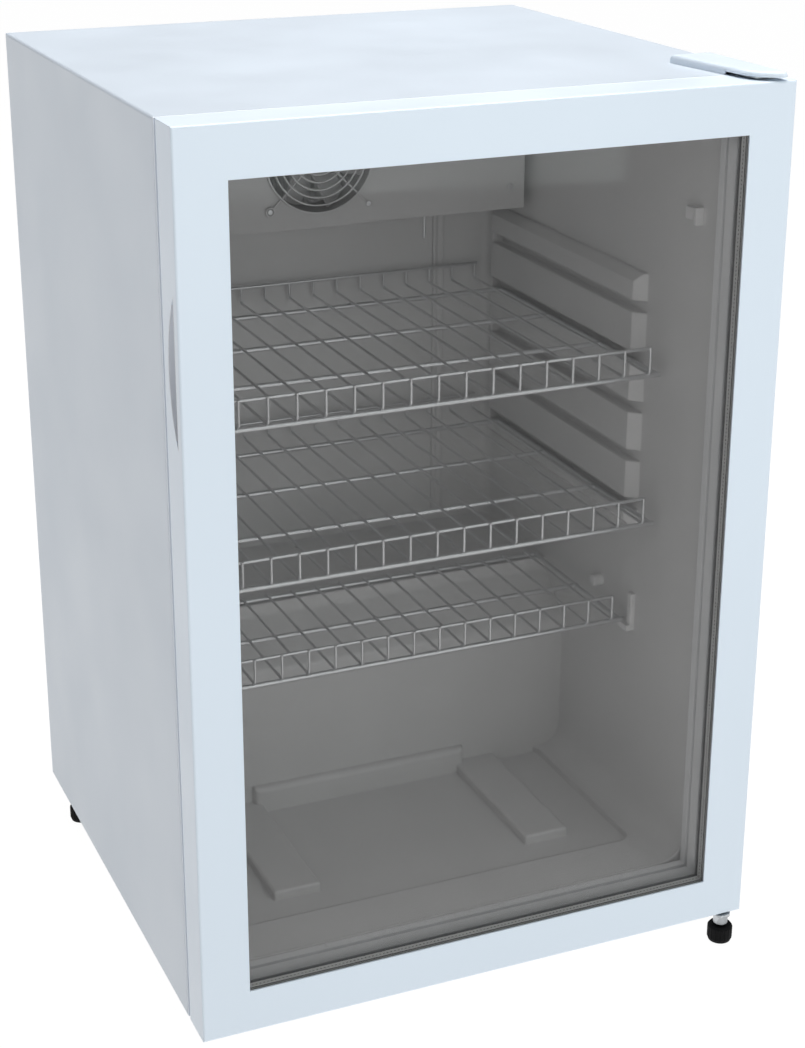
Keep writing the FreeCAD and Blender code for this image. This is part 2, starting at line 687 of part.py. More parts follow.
# ------------------------------------------------------------ cold side
def evaporator_cover():
    """The folded sheet in front of the cold coil."""
    top = "foot_gap + ceiling_up - 0.2"
    half = "cover_half"
    rear = CAVITY_REAR + " - back_radius - 1"
    outer = block("cover_outer", ("-" + half, half), (COVER_FACE, rear), ("foot_gap + cover_low_up", top))
    room = block("cover_room", ("-cover_half + cover_sheet", "cover_half - cover_sheet"),
                 (COVER_FACE + " + cover_sheet", rear + " + 1"),
                 ("foot_gap + cover_low_up + cover_sheet", top + " + 1"))
    corner = "foot_gap + fan_up"
    hole = rod("cover_hole", "y", "fan_bore", COVER_FACE + " - 1", COVER_FACE + " + 3", "0", corner)
    slots = []
    for count in range(7):
        x = str(-180 + count * 60)
        slots.append(block("cover_slot_%d" % count, (x + " - 22", x + " + 22"),
                           (COVER_FACE + " + 30", COVER_FACE + " + 38"),
                           ("foot_gap + cover_low_up - 1", "foot_gap + cover_low_up + 3")))
    folded = cut("cover_folded", outer, [room, hole] + slots)
    fitted = doc.addObject("Part::Common", "evaporator_cover")
    fitted.Base = folded
    fitted.Tool = inner_cavity
    node("evaporator_cover", fitted)


def fan_frame():
    """The square fan housing with its motor on four arms at the back."""
    front = COVER_FACE + " + cover_sheet"
    rear = front + " + fan_deep"
    half = "fan_side / 2"
    z = "foot_gap + fan_up"
    square = block("fan_square", ("-" + half, half), (front, rear), (z + " - " + half, z + " + " + half))
    bore = rod("fan_bore_hole", "y", "fan_bore", front + " - 1", rear + " + 1", "0", z)
    ring = cut("fan_ring", square, [bore])
    motor = rod("fan_motor_can", "y", "rotor_hub", rear + " - 8", rear, "0", z)
    deep = (rear + " - 4", rear)
    reach = "fan_bore + 1"
    flat_arm = block("fan_arm_flat", ("-(%s)" % reach, reach), deep, (z + " - 3", z + " + 3"))
    upright_arm = block("fan_arm_up", ("-3", "3"), deep, (z + " - (%s)" % reach, z + " + " + reach))
    solid = fuse("fan_solid", [ring, motor, flat_arm, upright_arm])
    bearing = rod("fan_bearing", "y", "shaft_radius + running_gap", rear + " - 9", rear + " - 1", "0", z)
    node("fan_frame", cut("fan_frame", solid, [bearing]))


def fan_rotor():
    """Hub, shaft and seven pitched blades."""
    front = size(COVER_FACE) + size("cover_sheet") + 3
    rear = size(COVER_FACE) + size("cover_sheet") + size("fan_deep") - 9
    z = size("foot_gap + fan_up")
    hub_radius = size("rotor_hub")
    centre = Vector(0, front, z)
    hub = Part.makeCylinder(hub_radius, rear - front, centre, Vector(0, 1, 0))
    shaft = Part.makeCylinder(size("shaft_radius"), 7.0, Vector(0, rear - 1, z), Vector(0, 1, 0))
    pieces = [hub, shaft]
    reach = size("rotor_radius")
    middle = (front + rear) / 2
    envelope = Part.makeCylinder(reach, rear - front - 1, centre + Vector(0, 0.5, 0), Vector(0, 1, 0))
    for count in range(7):
        blade = box_between((-1.1, -17, hub_radius - 4), (1.1, 17, reach + 5))
        blade.rotate(Vector(), Vector(0, 0, 1), 52)
        blade.rotate(Vector(), Vector(0, 1, 0), count * 360.0 / 7)
        blade.translate(Vector(0, middle, z))
        pieces.append(blade.common(envelope))
    node("fan_rotor", made("fan_rotor", union(pieces)))


def fan_guard():
    """The wire finger guard over the fan's mouth."""
    wire = size("guard_wire")
    y = size(COVER_FACE) - wire
    z = size("foot_gap + fan_up")
    forward = Vector(0, 1, 0)
    pieces = []
    for count in range(6):
        ring = size("guard_radius") - count * 7.6
        pieces.append(Part.makeTorus(ring, wire, Vector(0, y - 1.2, z), forward))
    pieces.append(Part.makeCylinder(15, 2.4, Vector(0, y - 2.4, z), forward))
    corner = size("fan_screw_half")
    for side in (-1, 1):
        for way in (-1, 1):
            lug = Vector(side * corner, y - 0.2, z + way * corner)
            inward = Vector(-side, 0, -way).normalize()
            pieces.append(straight(lug + inward * 4, lug + inward * (corner * math.sqrt(2) - 8), wire))
            pieces.append(Part.makeTorus(4.2, wire, lug, forward))
    node("fan_guard", made("fan_guard", union(pieces)))


def front_screw(x, z, radius, face_y):
    """A cross-head screw whose head stands on a face that looks forward."""
    head = Part.makeCylinder(radius, 2.2, Vector(x, face_y - 2.2, z), Vector(0, 1, 0))
    head = fillet_where(head, 1.1, lambda e: isinstance(e.Curve, Part.Circle) and at(e, 1, face_y - 2.2))
    reach = radius * 0.6
    slot = box_between((x - 0.5, face_y - 2.4, z - reach), (x + 0.5, face_y - 1.4, z + reach))
    cross = box_between((x - reach, face_y - 2.4, z - 0.5), (x + reach, face_y - 1.4, z + 0.5))
    return head.cut(slot).cut(cross)


def cover_screws():
    """The screws that hold the fan and the cover."""
    fan_z = size("foot_gap + fan_up")
    corner = size("fan_screw_half")
    face_y = size(COVER_FACE)
    edge = size("cover_half") - 16
    low = size("foot_gap + cover_low_up") + 23
    high = size("foot_gap + ceiling_up") - 32
    solids = []
    for side in (-1, 1):
        for way in (-1, 1):
            solids.append(front_screw(side * corner, fan_z + way * corner, 3.0, face_y))
        for height in (low, high):
            solids.append(front_screw(side * edge, height, 3.6, face_y))
    node("cover_screws", made("cover_screws", Part.makeCompound(solids)))


def evaporator():
    """The finned cold coil and its tube."""
    half = size("coil_half")
    front = y_in(size("coil_front_in"))
    rear = y_in(size("coil_back_in"))
    low = z_up(size("coil_low_up"))
    high = z_up(size("coil_high_up"))
    tube = size("coil_tube")
    middle = (front + rear) / 2
    rows = [low + 16 + count * (high - low - 32) / 3 for count in range(4)]
    fin = box_between((0, front, low), (0.6, rear, high))
    for z in rows:
        fin = fin.cut(Part.makeCylinder(tube, 2, Vector(-0.5, middle, z), Vector(1, 0, 0)))
    fins = []
    count_of_fins = 38
    for count in range(count_of_fins):
        copy = fin.copy()
        copy.translate(Vector(-half + 20 + count * (2 * half - 40) / (count_of_fins - 1), 0, 0))
        fins.append(copy)
    node("evaporator_fins", made("evaporator_fins", Part.makeCompound(fins)))
    points = [Vector(-half - 8, middle, rows[0])]
    for count, z in enumerate(rows):
        ends = (-half, half) if count % 2 == 0 else (half, -half)
        if count:
            points.append(Vector(ends[0], middle, z))
        if count < 3:
            points.append(Vector(ends[1], middle, z))
    points.append(Vector(-half - 8, middle, rows[3]))
    bend = (rows[1] - rows[0]) / 2 - 1
    node("evaporator_tube", made("evaporator_tube", bent_tube(points, bend, tube)))


def sensor_probe():
    """The capillary tip that hangs below the cover and senses the air."""
    x = 121.0
    y = size(COVER_FACE) + 16
    top = size("foot_gap + cover_low_up")
    probe = straight(Vector(x, y, top - 26), Vector(x, y, top), 1.6)
    node("sensor_probe", made("sensor_probe", probe))


def drain_channel():
    """The shallow strip on the back wall that leads melt water down."""
    rear = size(CAVITY_REAR)
    low = z_up(size("step_top_up")) + 14
    high = size("foot_gap + cover_low_up")
    strip = box_between((167, rear - 3, low), (180, rear, high))
    strip = fillet_where(strip, 1.2, lambda e: runs_along(e, 2) and e.CenterOfMass.y < rear - 1)
    gutter = Part.makeCylinder(3.2, high - low + 2, Vector(173.5, rear - 4.4, low - 1))
    node("drain_channel", made("drain_channel", strip.cut(gutter)))


# ------------------------------------------------------------ controls
def control_housing():
    """The moulded box under the ceiling with the lamp, knob and rocker."""
    y = (DOOR_FACE + " + control_front_in", DOOR_FACE + " + control_back_in")
    top = "foot_gap + ceiling_up"
    outer = block("control_outer", ("-control_half", "control_half"), y, (CONTROL_LOW, top))
    soft = rounded("control_soft", outer, "wrap_radius", lambda e: e.CenterOfMass.z < size(top) - 1)
    room = block("control_room", ("-control_half + 2.5", "control_half - 2.5"),
                 (y[0] + " + 2.5", y[1] + " - 2.5"), (CONTROL_LOW + " + 2.5", top + " + 1"))
    window = block("control_window", ("-60", "60"), (y[0] + " + 10", y[0] + " + 32"),
                   (CONTROL_LOW + " - 1", CONTROL_LOW + " + 3"))
    spindle = rod("control_spindle", "z", "3.05", CONTROL_LOW + " - 1", CONTROL_LOW + " + 3", "knob_x",
                  DOOR_FACE + " + knob_in")
    mouth = block("control_mouth", ("rocker_x - 10.5", "rocker_x + 10.5"),
                  (DOOR_FACE + " + rocker_in - 7.5", DOOR_FACE + " + rocker_in + 7.5"),
                  (CONTROL_LOW + " - 1", CONTROL_LOW + " + 3"))
    shell = cut("control_shell", soft, [room, window, spindle, mouth])
    node("control_housing", fuse("control_housing", [shell, rocker_rod("rocker_axle", "rocker_pin", 9)]))


def rocker_rod(name, radius, reach):
    """A rod along the rocker's axis, reaching so far each way."""
    middle = DOOR_FACE + " + rocker_in"
    ends = (middle + " - %g" % reach, middle + " + %g" % reach)
    return rod(name, "y", radius, ends[0], ends[1], "rocker_x", CONTROL_LOW + " + 2")


def lamp():
    """The light strip and its frosted lens."""
    front = DOOR_FACE + " + control_front_in"
    lens_y = (front + " + 10", front + " + 32")
    node("lamp_lens", block("lens_plate", ("-60", "60"), lens_y, (CONTROL_LOW, CONTROL_LOW + " + 2.5")))
    board = block("lamp_board", ("-56", "56"), (front + " + 13", front + " + 29"),
                  (CONTROL_LOW + " + 8", CONTROL_LOW + " + 9.6"))
    posts = [block("lamp_post_%d" % i, (x + " - 2", x + " + 2"), (front + " + 19", front + " + 23"),
                   (CONTROL_LOW + " + 9", "foot_gap + ceiling_up")) for i, x in enumerate(("-50", "50"))]
    node("lamp_board", fuse("lamp_strip", [board] + posts))


def knob():
    """The thermostat's knob: a disc with a raised grip and a spindle."""
    body = doc.addObject("PartDesign::Body", "knob_body")
    disc = body.newObject("Sketcher::SketchObject", "knob_disc")
    disc.AttachmentSupport = (origin_plane(body, "XY_Plane"), [""])
    disc.MapMode = "FlatFace"
    disc.addGeometry(Part.Circle(Vector(), Vector(0, 0, 1), size("knob_radius")), False)
    disc.addConstraint(Sketcher.Constraint("Coincident", 0, 3, -1, 1))
    radius = disc.addConstraint(Sketcher.Constraint("Radius", 0, size("knob_radius")))
    disc.setExpression("Constraints[%d]" % radius, bound("knob_radius"))
    skirt = body.newObject("PartDesign::Pad", "knob_skirt")
    skirt.Profile = disc
    skirt.Reversed = True
    skirt.setExpression("Length", bound("knob_height"))
    knob_y = DOOR_FACE + " + knob_in"
    crown = CONTROL_LOW + " - 0.3"
    for axis, place in zip("xyz", ("knob_x", knob_y, crown)):
        body.setExpression("Placement.Base." + axis, bound(place))
    face = crown + " - knob_height"
    wide = ("knob_x - 2.6", "knob_x + 2.6")
    long = (knob_y + " - knob_radius + 1.5", knob_y + " + knob_radius - 1.5")
    grip = block("knob_grip", wide, long, (face + " - 5", face))
    low = size(face) - 2
    grip_soft = rounded("knob_grip_soft", grip, "1.2", lambda e: e.CenterOfMass.z < low)
    root = block("knob_root", wide, (knob_y + " - 10", knob_y + " + 10"), (face + " - 1", face + " + 1"))
    stem = rod("knob_stem", "z", "3", crown + " - 1", CONTROL_LOW + " + 12", "knob_x", knob_y)
    node("thermostat_knob", fuse("thermostat_knob", [body, grip_soft, root, stem]))


def origin_plane(body, role):
    """One of a body's own origin planes."""
    return [plane for plane in body.Origin.OriginFeatures if plane.Role == role][0]


def rocker():
    """The lamp's rocker, tipped about its middle."""
    x = size("rocker_x")
    y = y_in(size("rocker_in"))
    low = size(CONTROL_LOW)
    profile = [(-9.6, -3.2), (0, -1.2), (9.6, -1.2), (9.6, 4.0), (3, 7.0), (-3, 7.0), (-9.6, 4.0)]
    points = [Vector(x + dx, y - 6.8, low + dz) for dx, dz in profile]
    paddle = made("rocker_paddle", polygon(points).extrude(Vector(0, 13.6, 0)))
    bore = rocker_rod("rocker_bore", "rocker_pin + running_gap", 10)
    node("lamp_switch", cut("lamp_switch", paddle, [bore]))


# ------------------------------------------------------------ wall fittings
def wall_fittings():
    """Clip-in pegs for the lower shelf and the hook high on the right wall."""
    wall = size("cavity_half")
    solids = []
    for side in (-1, 1):
        y = y_in(233)
        z = z_up(266)
        peg = Part.makeCylinder(6, 11, Vector(wall - 11, y, z), Vector(1, 0, 0))
        peg = fillet_where(peg, 1.5, lambda e: isinstance(e.Curve, Part.Circle) and at(e, 0, wall - 11))
        shelf_z = z_up(size("step_top_up"))
        tab = box_between((wall - 4.6, y_in(163), shelf_z - 4), (wall, y_in(171), shelf_z + 33))
        tab = fillet_where(tab, 1.2, lambda e: at(e, 0, wall - 4.6))
        rest = box_between((wall - 9, y_in(163), shelf_z - 6), (wall, y_in(185), shelf_z - 0.05))
        pieces = [peg, union([tab, rest])]
        for piece in pieces:
            solids.append(piece if side > 0 else piece.mirror(Vector(), Vector(1, 0, 0)))
    node("shelf_pegs", made("shelf_pegs", Part.makeCompound(solids)))
    pad = box_between((wall - 5, y_in(84), z_up(673)), (wall, y_in(97), z_up(684)))
    bar = box_between((wall - 8, y_in(75), z_up(670)), (wall, y_in(78), z_up(686)))
    web = box_between((wall - 3, y_in(77), z_up(676)), (wall, y_in(86), z_up(681)))
    node("wall_hook", made("wall_hook", union([pad, bar, web])))


# ------------------------------------------------------------ shelves
def wire_fence(wire_y, inward, low, top):
    """Upright wire ends welded to a rail that runs along their inner side."""
    thin = size("wire_radius")
    thick = size("fence_radius")
    weld = size("weld")
    pieces = []
    for x in wire_places():
        pieces.append(straight(Vector(x, wire_y, low), Vector(x, wire_y, top + thick - 0.2), thin))
    rail_y = wire_y + inward * (thin + thick - weld)
    reach = wire_places()[-1] + thick
    pieces.append(straight(Vector(-reach, rail_y, top), Vector(reach, rail_y, top), thick))
    return pieces[0].multiFuse(pieces[1:])


def wire_places():
    """Where the long wires lie across a shelf."""
    return [number * size("wire_pitch") for number in range(-8, 9)]


def wire_deck(rod_z, half, rod_places, paths):
    """Cross rods between two side rods, with the long wires welded on top."""
    thick = size("rod_radius")
    thin = size("wire_radius")
    pieces = [straight(Vector(-half, y, rod_z), Vector(half, y, rod_z), thick) for y in rod_places]
    for side in (-1, 1):
        x = side * (half - thick)
        start = Vector(x, rod_places[0] - 1, rod_z)
        pieces.append(straight(start, Vector(x, rod_places[-1] + 1, rod_z), size("side_rod_radius")))
    for points in paths:
        pieces.append(bent_tube(points, size("wire_bend"), thin))
    return pieces[0].multiFuse(pieces[1:])


def wire_shelf(name, rod_z, half, front, rear, back):
    """A wire deck whose long wires turn up into fences; with no back, only at the front."""
    thick = size("rod_radius")
    reach = thick + size("wire_radius") - size("weld")
    wire_z = rod_z + reach
    fence_y = front - reach
    turned_up = wire_z + size("wire_bend") + 0.1
    rear_end = Vector(0, back, wire_z) if back else Vector(0, rear + thick, wire_z)
    path = [Vector(0, fence_y, turned_up), Vector(0, fence_y, wire_z), rear_end]
    if back:
        path.append(Vector(0, back, turned_up))
    paths = [[point + Vector(x, 0, 0) for point in path] for x in wire_places()]
    rods = 4 if back else 3
    first = front + 1.6
    rod_places = [first + count * (rear - first) / (rods - 1) for count in range(rods)]
    solids = [wire_deck(rod_z, half, rod_places, paths)]
    solids.append(wire_fence(fence_y, 1, turned_up, rod_z + size("fence_front")))
    if back:
        solids.append(wire_fence(back, -1, turned_up, rod_z + size("fence_rear")))
    node(name, made(name, Part.makeCompound(solids)))


def shelves():
    """Two full shelves in the rail grooves and a short one over the step."""
    rest = size("shelf_lift") + size("rod_radius")
    front = y_in(size("shelf_front_in"))
    rear = y_in(size("shelf_rear_in"))
    for name, groove in (("shelf_top", 3), ("shelf_middle", 0)):
        rod_z = z_up(size("groove_low_up") + groove * size("groove_pitch")) + rest
        wire_shelf(name, rod_z, size("shelf_half"), front, rear, y_in(size("shelf_back_in")))
    rod_z = z_up(size("step_top_up")) + rest
    front = y_in(size("low_shelf_front_in"))
    wire_shelf("shelf_bottom", rod_z, size("low_shelf_half"), front, y_in(size("low_shelf_rear_in")), None)


# ------------------------------------------------------------ door
def opening(name, grow, y):
    """The door's window opening, grown on every side."""
    half = "cab_width / 2 - door_side + (%s)" % grow
    low = "foot_gap + door_bottom - (%s)" % grow
    return block(name, ("-(%s)" % half, half), y, (low, BODY_TOP + " - door_top + (%s)" % grow))


GLASS_FRONT = DOOR_FACE + " + lip"
GLASS_GAP = GLASS_FRONT + " + pane"
GLASS_BACK = GLASS_GAP + " + pane_gap"
RETAINER_FRONT = GLASS_BACK + " + pane"


def grip_solid(grow, name):
    """The finger pull's hollow: flat towards the front and bowed to the back."""
    low = z_up(size("grip_low_up")) - grow
    high = z_up(size("grip_high_up")) + grow
    front = y_in(size("grip_front_in")) - grow
    rear = y_in(size("grip_back_in")) + grow
    side = -size("cab_width / 2")
    foot = Vector(side, front, low)
    head = Vector(side, front, high)
    flat = Part.LineSegment(foot, head).toShape()
    bow = Part.Arc(head, Vector(side, rear, (low + high) / 2), foot).toShape()
    face = Part.Face(Part.Wire([flat, bow]))
    return made(name, face.extrude(Vector(size("grip_deep") + grow, 0, 0)))


def door_frame():
    """The white outer frame, padded from its outline and cut for the glass."""
    body = doc.addObject("PartDesign::Body", "door_body")
    outline = body.newObject("Sketcher::SketchObject", "door_outline")
    outline.AttachmentSupport = (origin_plane(body, "XZ_Plane"), [""])
    outline.MapMode = "FlatFace"
    centred_rectangle(outline, "cab_width", "body_height")
    pad = body.newObject("PartDesign::Pad", "door_pad")
    pad.Profile = outline
    pad.setExpression("Length", bound("door_thick"))
    doc.recompute()
    window = body.newObject("Sketcher::SketchObject", "door_window")
    window.AttachmentSupport = (origin_plane(body, "XZ_Plane"), [""])
    window.MapMode = "FlatFace"
    centred_rectangle(window, "cab_width - 2 * door_side", "body_height - door_top - door_bottom")
    window.setExpression("AttachmentOffset.Base.y", bound("(door_bottom - door_top) / 2"))
    pocket = body.newObject("PartDesign::Pocket", "door_opening")
    pocket.Profile = window
    pocket.Type = 1
    pocket.Midplane = True
    doc.recompute()
    body.setExpression("Placement.Base.y", bound(DOOR_REAR))
    body.setExpression("Placement.Base.z", bound("foot_gap + body_height / 2"))
    doc.recompute()
    rear = size(DOOR_REAR)
    side = size("cab_width / 2")

    def rear_corner(edge):
        """The upright outer edges at the back of the door."""
        return runs_along(edge, 2) and at(edge, 1, rear) and abs(edge.CenterOfMass.x) > side - 1
    soft = rounded("door_soft", body, "door_radius", rear_corner)
    face = size(DOOR_FACE)

    def front_edge(edge):
        """The outer edges around the door's face."""
        reach = edge.BoundBox
        outside = reach.XLength > 2 * side - 20 or reach.ZLength > size("body_height") - 20
        return at(edge, 1, face) and outside
    eased = rounded("door_eased", soft, "wrap_radius - 1", front_edge)
    rebate = opening("door_rebate", "rebate", (GLASS_FRONT, DOOR_REAR + " + 1"))
    hollow = grip_solid(size("grip_wall"), "grip_hollow")
    sockets = []
    for name, low, high in (("top", BODY_TOP + " - pin_deep - 2", BODY_TOP + " + 1"),
                            ("bottom", "foot_gap - 1", "foot_gap + pin_deep + 2")):
        sockets.append(rod("bush_socket_" + name, "z", "bush_radius", low, high, "hinge_x", HINGE_Y))
    node("door_frame", cut("door_frame", eased, [rebate, hollow] + sockets))


def centred_rectangle(sketch, wide, tall):
    """A rectangle about the sketch's origin with two bound sizes."""
    w, h = size(wide) / 2, size(tall) / 2
    corners = [(-w, -h), (w, -h), (w, h), (-w, h)]
    for i in range(4):
        a, b = corners[i], corners[(i + 1) % 4]
        sketch.addGeometry(Part.LineSegment(Vector(a[0], a[1], 0), Vector(b[0], b[1], 0)), False)
    for i in range(4):
        sketch.addConstraint(Sketcher.Constraint("Coincident", i, 2, (i + 1) % 4, 1))
    for i, kind in enumerate(("Horizontal", "Vertical", "Horizontal", "Vertical")):
        sketch.addConstraint(Sketcher.Constraint(kind, i))
    sketch.addConstraint(Sketcher.Constraint("Symmetric", 0, 1, 1, 2, -1, 1))
    across = sketch.addConstraint(Sketcher.Constraint("DistanceX", 0, 1, 0, 2, 2 * w))
    up = sketch.addConstraint(Sketcher.Constraint("DistanceY", 1, 1, 1, 2, 2 * h))
    sketch.setExpression("Constraints[%d]" % across, bound(wide))
    sketch.setExpression("Constraints[%d]" % up, bound(tall))


def ring(name, outer_grow, inner_grow, y):
    """A rectangular ring around the window."""
    outer = opening(name + "_outer", outer_grow, y)
    inner = opening(name + "_inner", inner_grow, (y[0] + " - 1", y[1] + " + 1"))
    return cut(name, outer, [inner])


def glazing():
    """Two panes with a spacer between them, and the ring that holds them in."""
    node("glass_outer", opening("glass_outer", "rebate - 1", (GLASS_FRONT, GLASS_GAP)))
    node("glass_inner", opening("glass_inner", "rebate - 1", (GLASS_BACK, RETAINER_FRONT)))
    node("glass_spacer", ring("glass_spacer", "rebate - 1.5", "0", (GLASS_GAP, GLASS_BACK)))
    plain = ring("inner_frame_plain", "rebate", "-retainer_lap", (RETAINER_FRONT, DOOR_REAR))
    bead = (DOOR_FACE + " + bead_in", DOOR_FACE + " + bead_in + bead_wide")
    groove = ring("inner_frame_groove", "bead_deep", "-retainer_lap - 1", bead)
    node("door_inner_frame", cut("door_inner_frame", plain, [groove]))


def gasket():
    """The magnetic seal: a flat base with two soft ridges, set further in beside the hinge."""
    left = size("gasket_edge - cab_width / 2")
    right = size("cab_width / 2 - gasket_hinge_edge")
    width = size("gasket_width")
    low = z_up(size("gasket_edge"))
    high = z_up(size("body_height - gasket_edge"))
    front = size(DOOR_REAR)
    rear = size(CAB_FRONT) - size("gasket_slack")

    def frame(inset, wide, y0, y1):
        """A rectangular ring, set in from the seal's outline."""
        outer = box_between((left + inset, y0, low + inset), (right - inset, y1, high - inset))
        deep = inset + wide
        hole = box_between((left + deep, y0 - 1, low + deep), (right - deep, y1 + 1, high - deep))
        return outer.cut(hole)
    base = frame(0, width, front, front + 1.4)
    bulb = frame(1.5, 9, front + 1, rear)
    skirt = frame(width - 4, 2.5, front + 1, rear - 0.6)
    node("door_gasket", made("door_gasket", union([base, bulb, skirt])))


def grip_cup():
    """The moulded cup that lines the finger pull."""
    outer = grip_solid(size("grip_wall"), "grip_cup_outer")
    inner = grip_solid(0.0, "grip_cup_inner")
    node("handle_cup", cut("handle_cup", outer, [inner]))


# ------------------------------------------------------------ hinges
UPPER_LOW = BODY_TOP + " + hinge_clear"
LOWER_TOP = "foot_gap - hinge_clear"
STUD_HOLE = "stud_radius + running_gap"


def upper_hinge():
    """The plate on the cabinet's top, its pin and the bush in the door."""
    high = UPPER_LOW + " + plate_thick"
    plate = block("upper_plate", ("hinge_x - 17", "hinge_x + 4.7"), (HINGE_Y + " - 6", CAB_FRONT + " + 60"),
                  (UPPER_LOW, high))
    soft = rounded("upper_plate_soft", plate, "5", lambda e: runs_along(e, 2))
    pad = block("upper_pad", ("hinge_x - 17", "hinge_x + 4.7"), (CAB_FRONT + " + 4", CAB_FRONT + " + 60"),
                (BODY_TOP, UPPER_LOW + " + 0.5"))
    hole = rod("upper_plate_hole", "z", "pin_radius", UPPER_LOW + " - 1", high + " + 1", "hinge_x", HINGE_Y)
    node("upper_hinge_bracket", cut("upper_hinge_bracket", fuse("upper_solid", [soft, pad]), [hole]))
    pin = rod("upper_pin", "z", "pin_radius", BODY_TOP + " - pin_deep", high, "hinge_x", HINGE_Y)
    node("upper_hinge_pin", pin)
    pin_end = BODY_TOP + " - pin_deep"
    bush("upper_hinge_bush", pin_end + " - 2", BODY_TOP, pin_end + " - 1", BODY_TOP + " + 1")
    screws = []
    crown = high + " + hinge_screw_high"

    def crown_edge(edge):
        """The rim of a screw's head."""
        return isinstance(edge.Curve, Part.Circle) and at(edge, 2, size(crown))
    for count, y in enumerate((CAB_FRONT + " + 18", CAB_FRONT + " + 42")):
        head = rod("hinge_screw_%d" % count, "z", "4.5", high, crown, "hinge_x - 8", y)
        screws.append(rounded("hinge_screw_soft_%d" % count, head, "0.9", crown_edge))
    node("hinge_screws", group("hinge_screws", screws))


def bush(name, low, high, bore_low, bore_high):
    """A nylon bush set in the door frame."""
    outer = rod(name + "_outer", "z", "bush_radius", low, high, "hinge_x", HINGE_Y)
    bore = rod(name + "_bore", "z", "pin_radius + running_gap", bore_low, bore_high, "hinge_x", HINGE_Y)
    node(name, cut(name, outer, [bore]))


def lower_hinge():
    """The plate under the cabinet that carries the door and the front foot."""
    low = LOWER_TOP + " - plate_thick"
    plate = block("lower_plate", ("hinge_x - 24", "hinge_x + 12"), (HINGE_Y + " - 8", CAB_FRONT + " + 60"),
                  (low, LOWER_TOP))
    soft = rounded("lower_plate_soft", plate, "6", lambda e: runs_along(e, 2))
    tongue = block("lower_tongue", ("foot_front_x - 8.5", "foot_front_x + 8.5"),
                   (DOOR_FACE + " - 2", HINGE_Y), (low, LOWER_TOP))
    tongue_soft = rounded("lower_tongue_soft", tongue, "7", lambda e: runs_along(e, 2))
    pad = block("lower_pad", ("hinge_x - 24", "hinge_x + 12"), (FOAM_FRONT + " + 1", CAB_FRONT + " + 60"),
                (LOWER_TOP + " - 0.5", "foot_gap"))
    foot_y = DOOR_FACE + " - toe + foot_radius"
    nut = rod("lower_nut", "z", "nut_radius", low + " - nut_high", low + " + 0.5", "foot_front_x", foot_y)
    nut_low = low + " - nut_high - 1"
    thread = rod("lower_thread", "z", STUD_HOLE, nut_low, LOWER_TOP + " + 1", "foot_front_x", foot_y)
    hole = rod("lower_plate_hole", "z", "pin_radius", low + " - 1", LOWER_TOP + " + 1", "hinge_x", HINGE_Y)
    solid = fuse("lower_solid", [soft, tongue_soft, pad, nut])
    node("lower_hinge_bracket", cut("lower_hinge_bracket", solid, [thread, hole]))
    pin = rod("lower_pin", "z", "pin_radius", low, "foot_gap + pin_deep", "hinge_x", HINGE_Y)
    node("lower_hinge_pin", pin)
    bush("lower_hinge_bush", "foot_gap", "foot_gap + pin_deep + 2", "foot_gap - 1", "foot_gap + pin_deep + 1")


def cap_outline():
    """The hinge cap's edge seen from above, walked from its back left corner."""
    half = size("cab_width / 2")
    back = y_in(122)
    left = Vector(223, back, 0)
    waist = Vector(234, y_in(36), 0)
    tip = Vector(260, y_in(-2), 0)
    right_front = Vector(half - 9, y_in(6), 0)
    right_back = Vector(half - 10.5, back, 0)
    return [
        Part.LineSegment(left, waist).toShape(),
        Part.Arc(waist, Vector(241, y_in(12), 0), tip).toShape(),
        Part.Arc(tip, Vector(half - 10.5, y_in(0), 0), right_front).toShape(),
        Part.LineSegment(right_front, right_back).toShape(),
        Part.LineSegment(right_back, left).toShape(),
    ]


def hinge_cap():
    """The white cover over the upper hinge."""
    top = size(BODY_TOP)
    face = Part.Face(Part.Wire(cap_outline()))
    face.translate(Vector(0, 0, top))
    shell = face.extrude(Vector(0, 0, size("cap_high")))
    crown = top + size("cap_high")
    shell = fillet_where(shell, size("cap_round"), lambda e: at(e, 2, crown))
    inset = face.makeOffset2D(-size("cap_wall"))
    inset.translate(Vector(0, 0, -1))
    room = inset.extrude(Vector(0, 0, size("cap_high") + 1 - size("cap_wall")))
    over_door = box_between((200, y_in(-20), top - 1), (300, size(CAB_FRONT) + 0.5, top + size("cap_lift")))
    node("hinge_cover", made("hinge_cover", shell.cut(room).cut(over_door)))


# ------------------------------------------------------------ feet
def foot_profile():
    """Half the section of a levelling foot, from its axis outwards."""
    radius = size("foot_radius")
    high = size("foot_height")
    stud = size("stud_radius")
    top = size(LOWER_TOP) - 0.3
    return [Vector(0, 0, 0), Vector(radius - 4.5, 0, 0), Vector(radius - 1.3, 0, 1.6), Vector(radius, 0, 5),
            Vector(radius, 0, high - 2), Vector(radius - 1.5, 0, high), Vector(stud, 0, high),
            Vector(stud, 0, top), Vector(0, 0, top)]


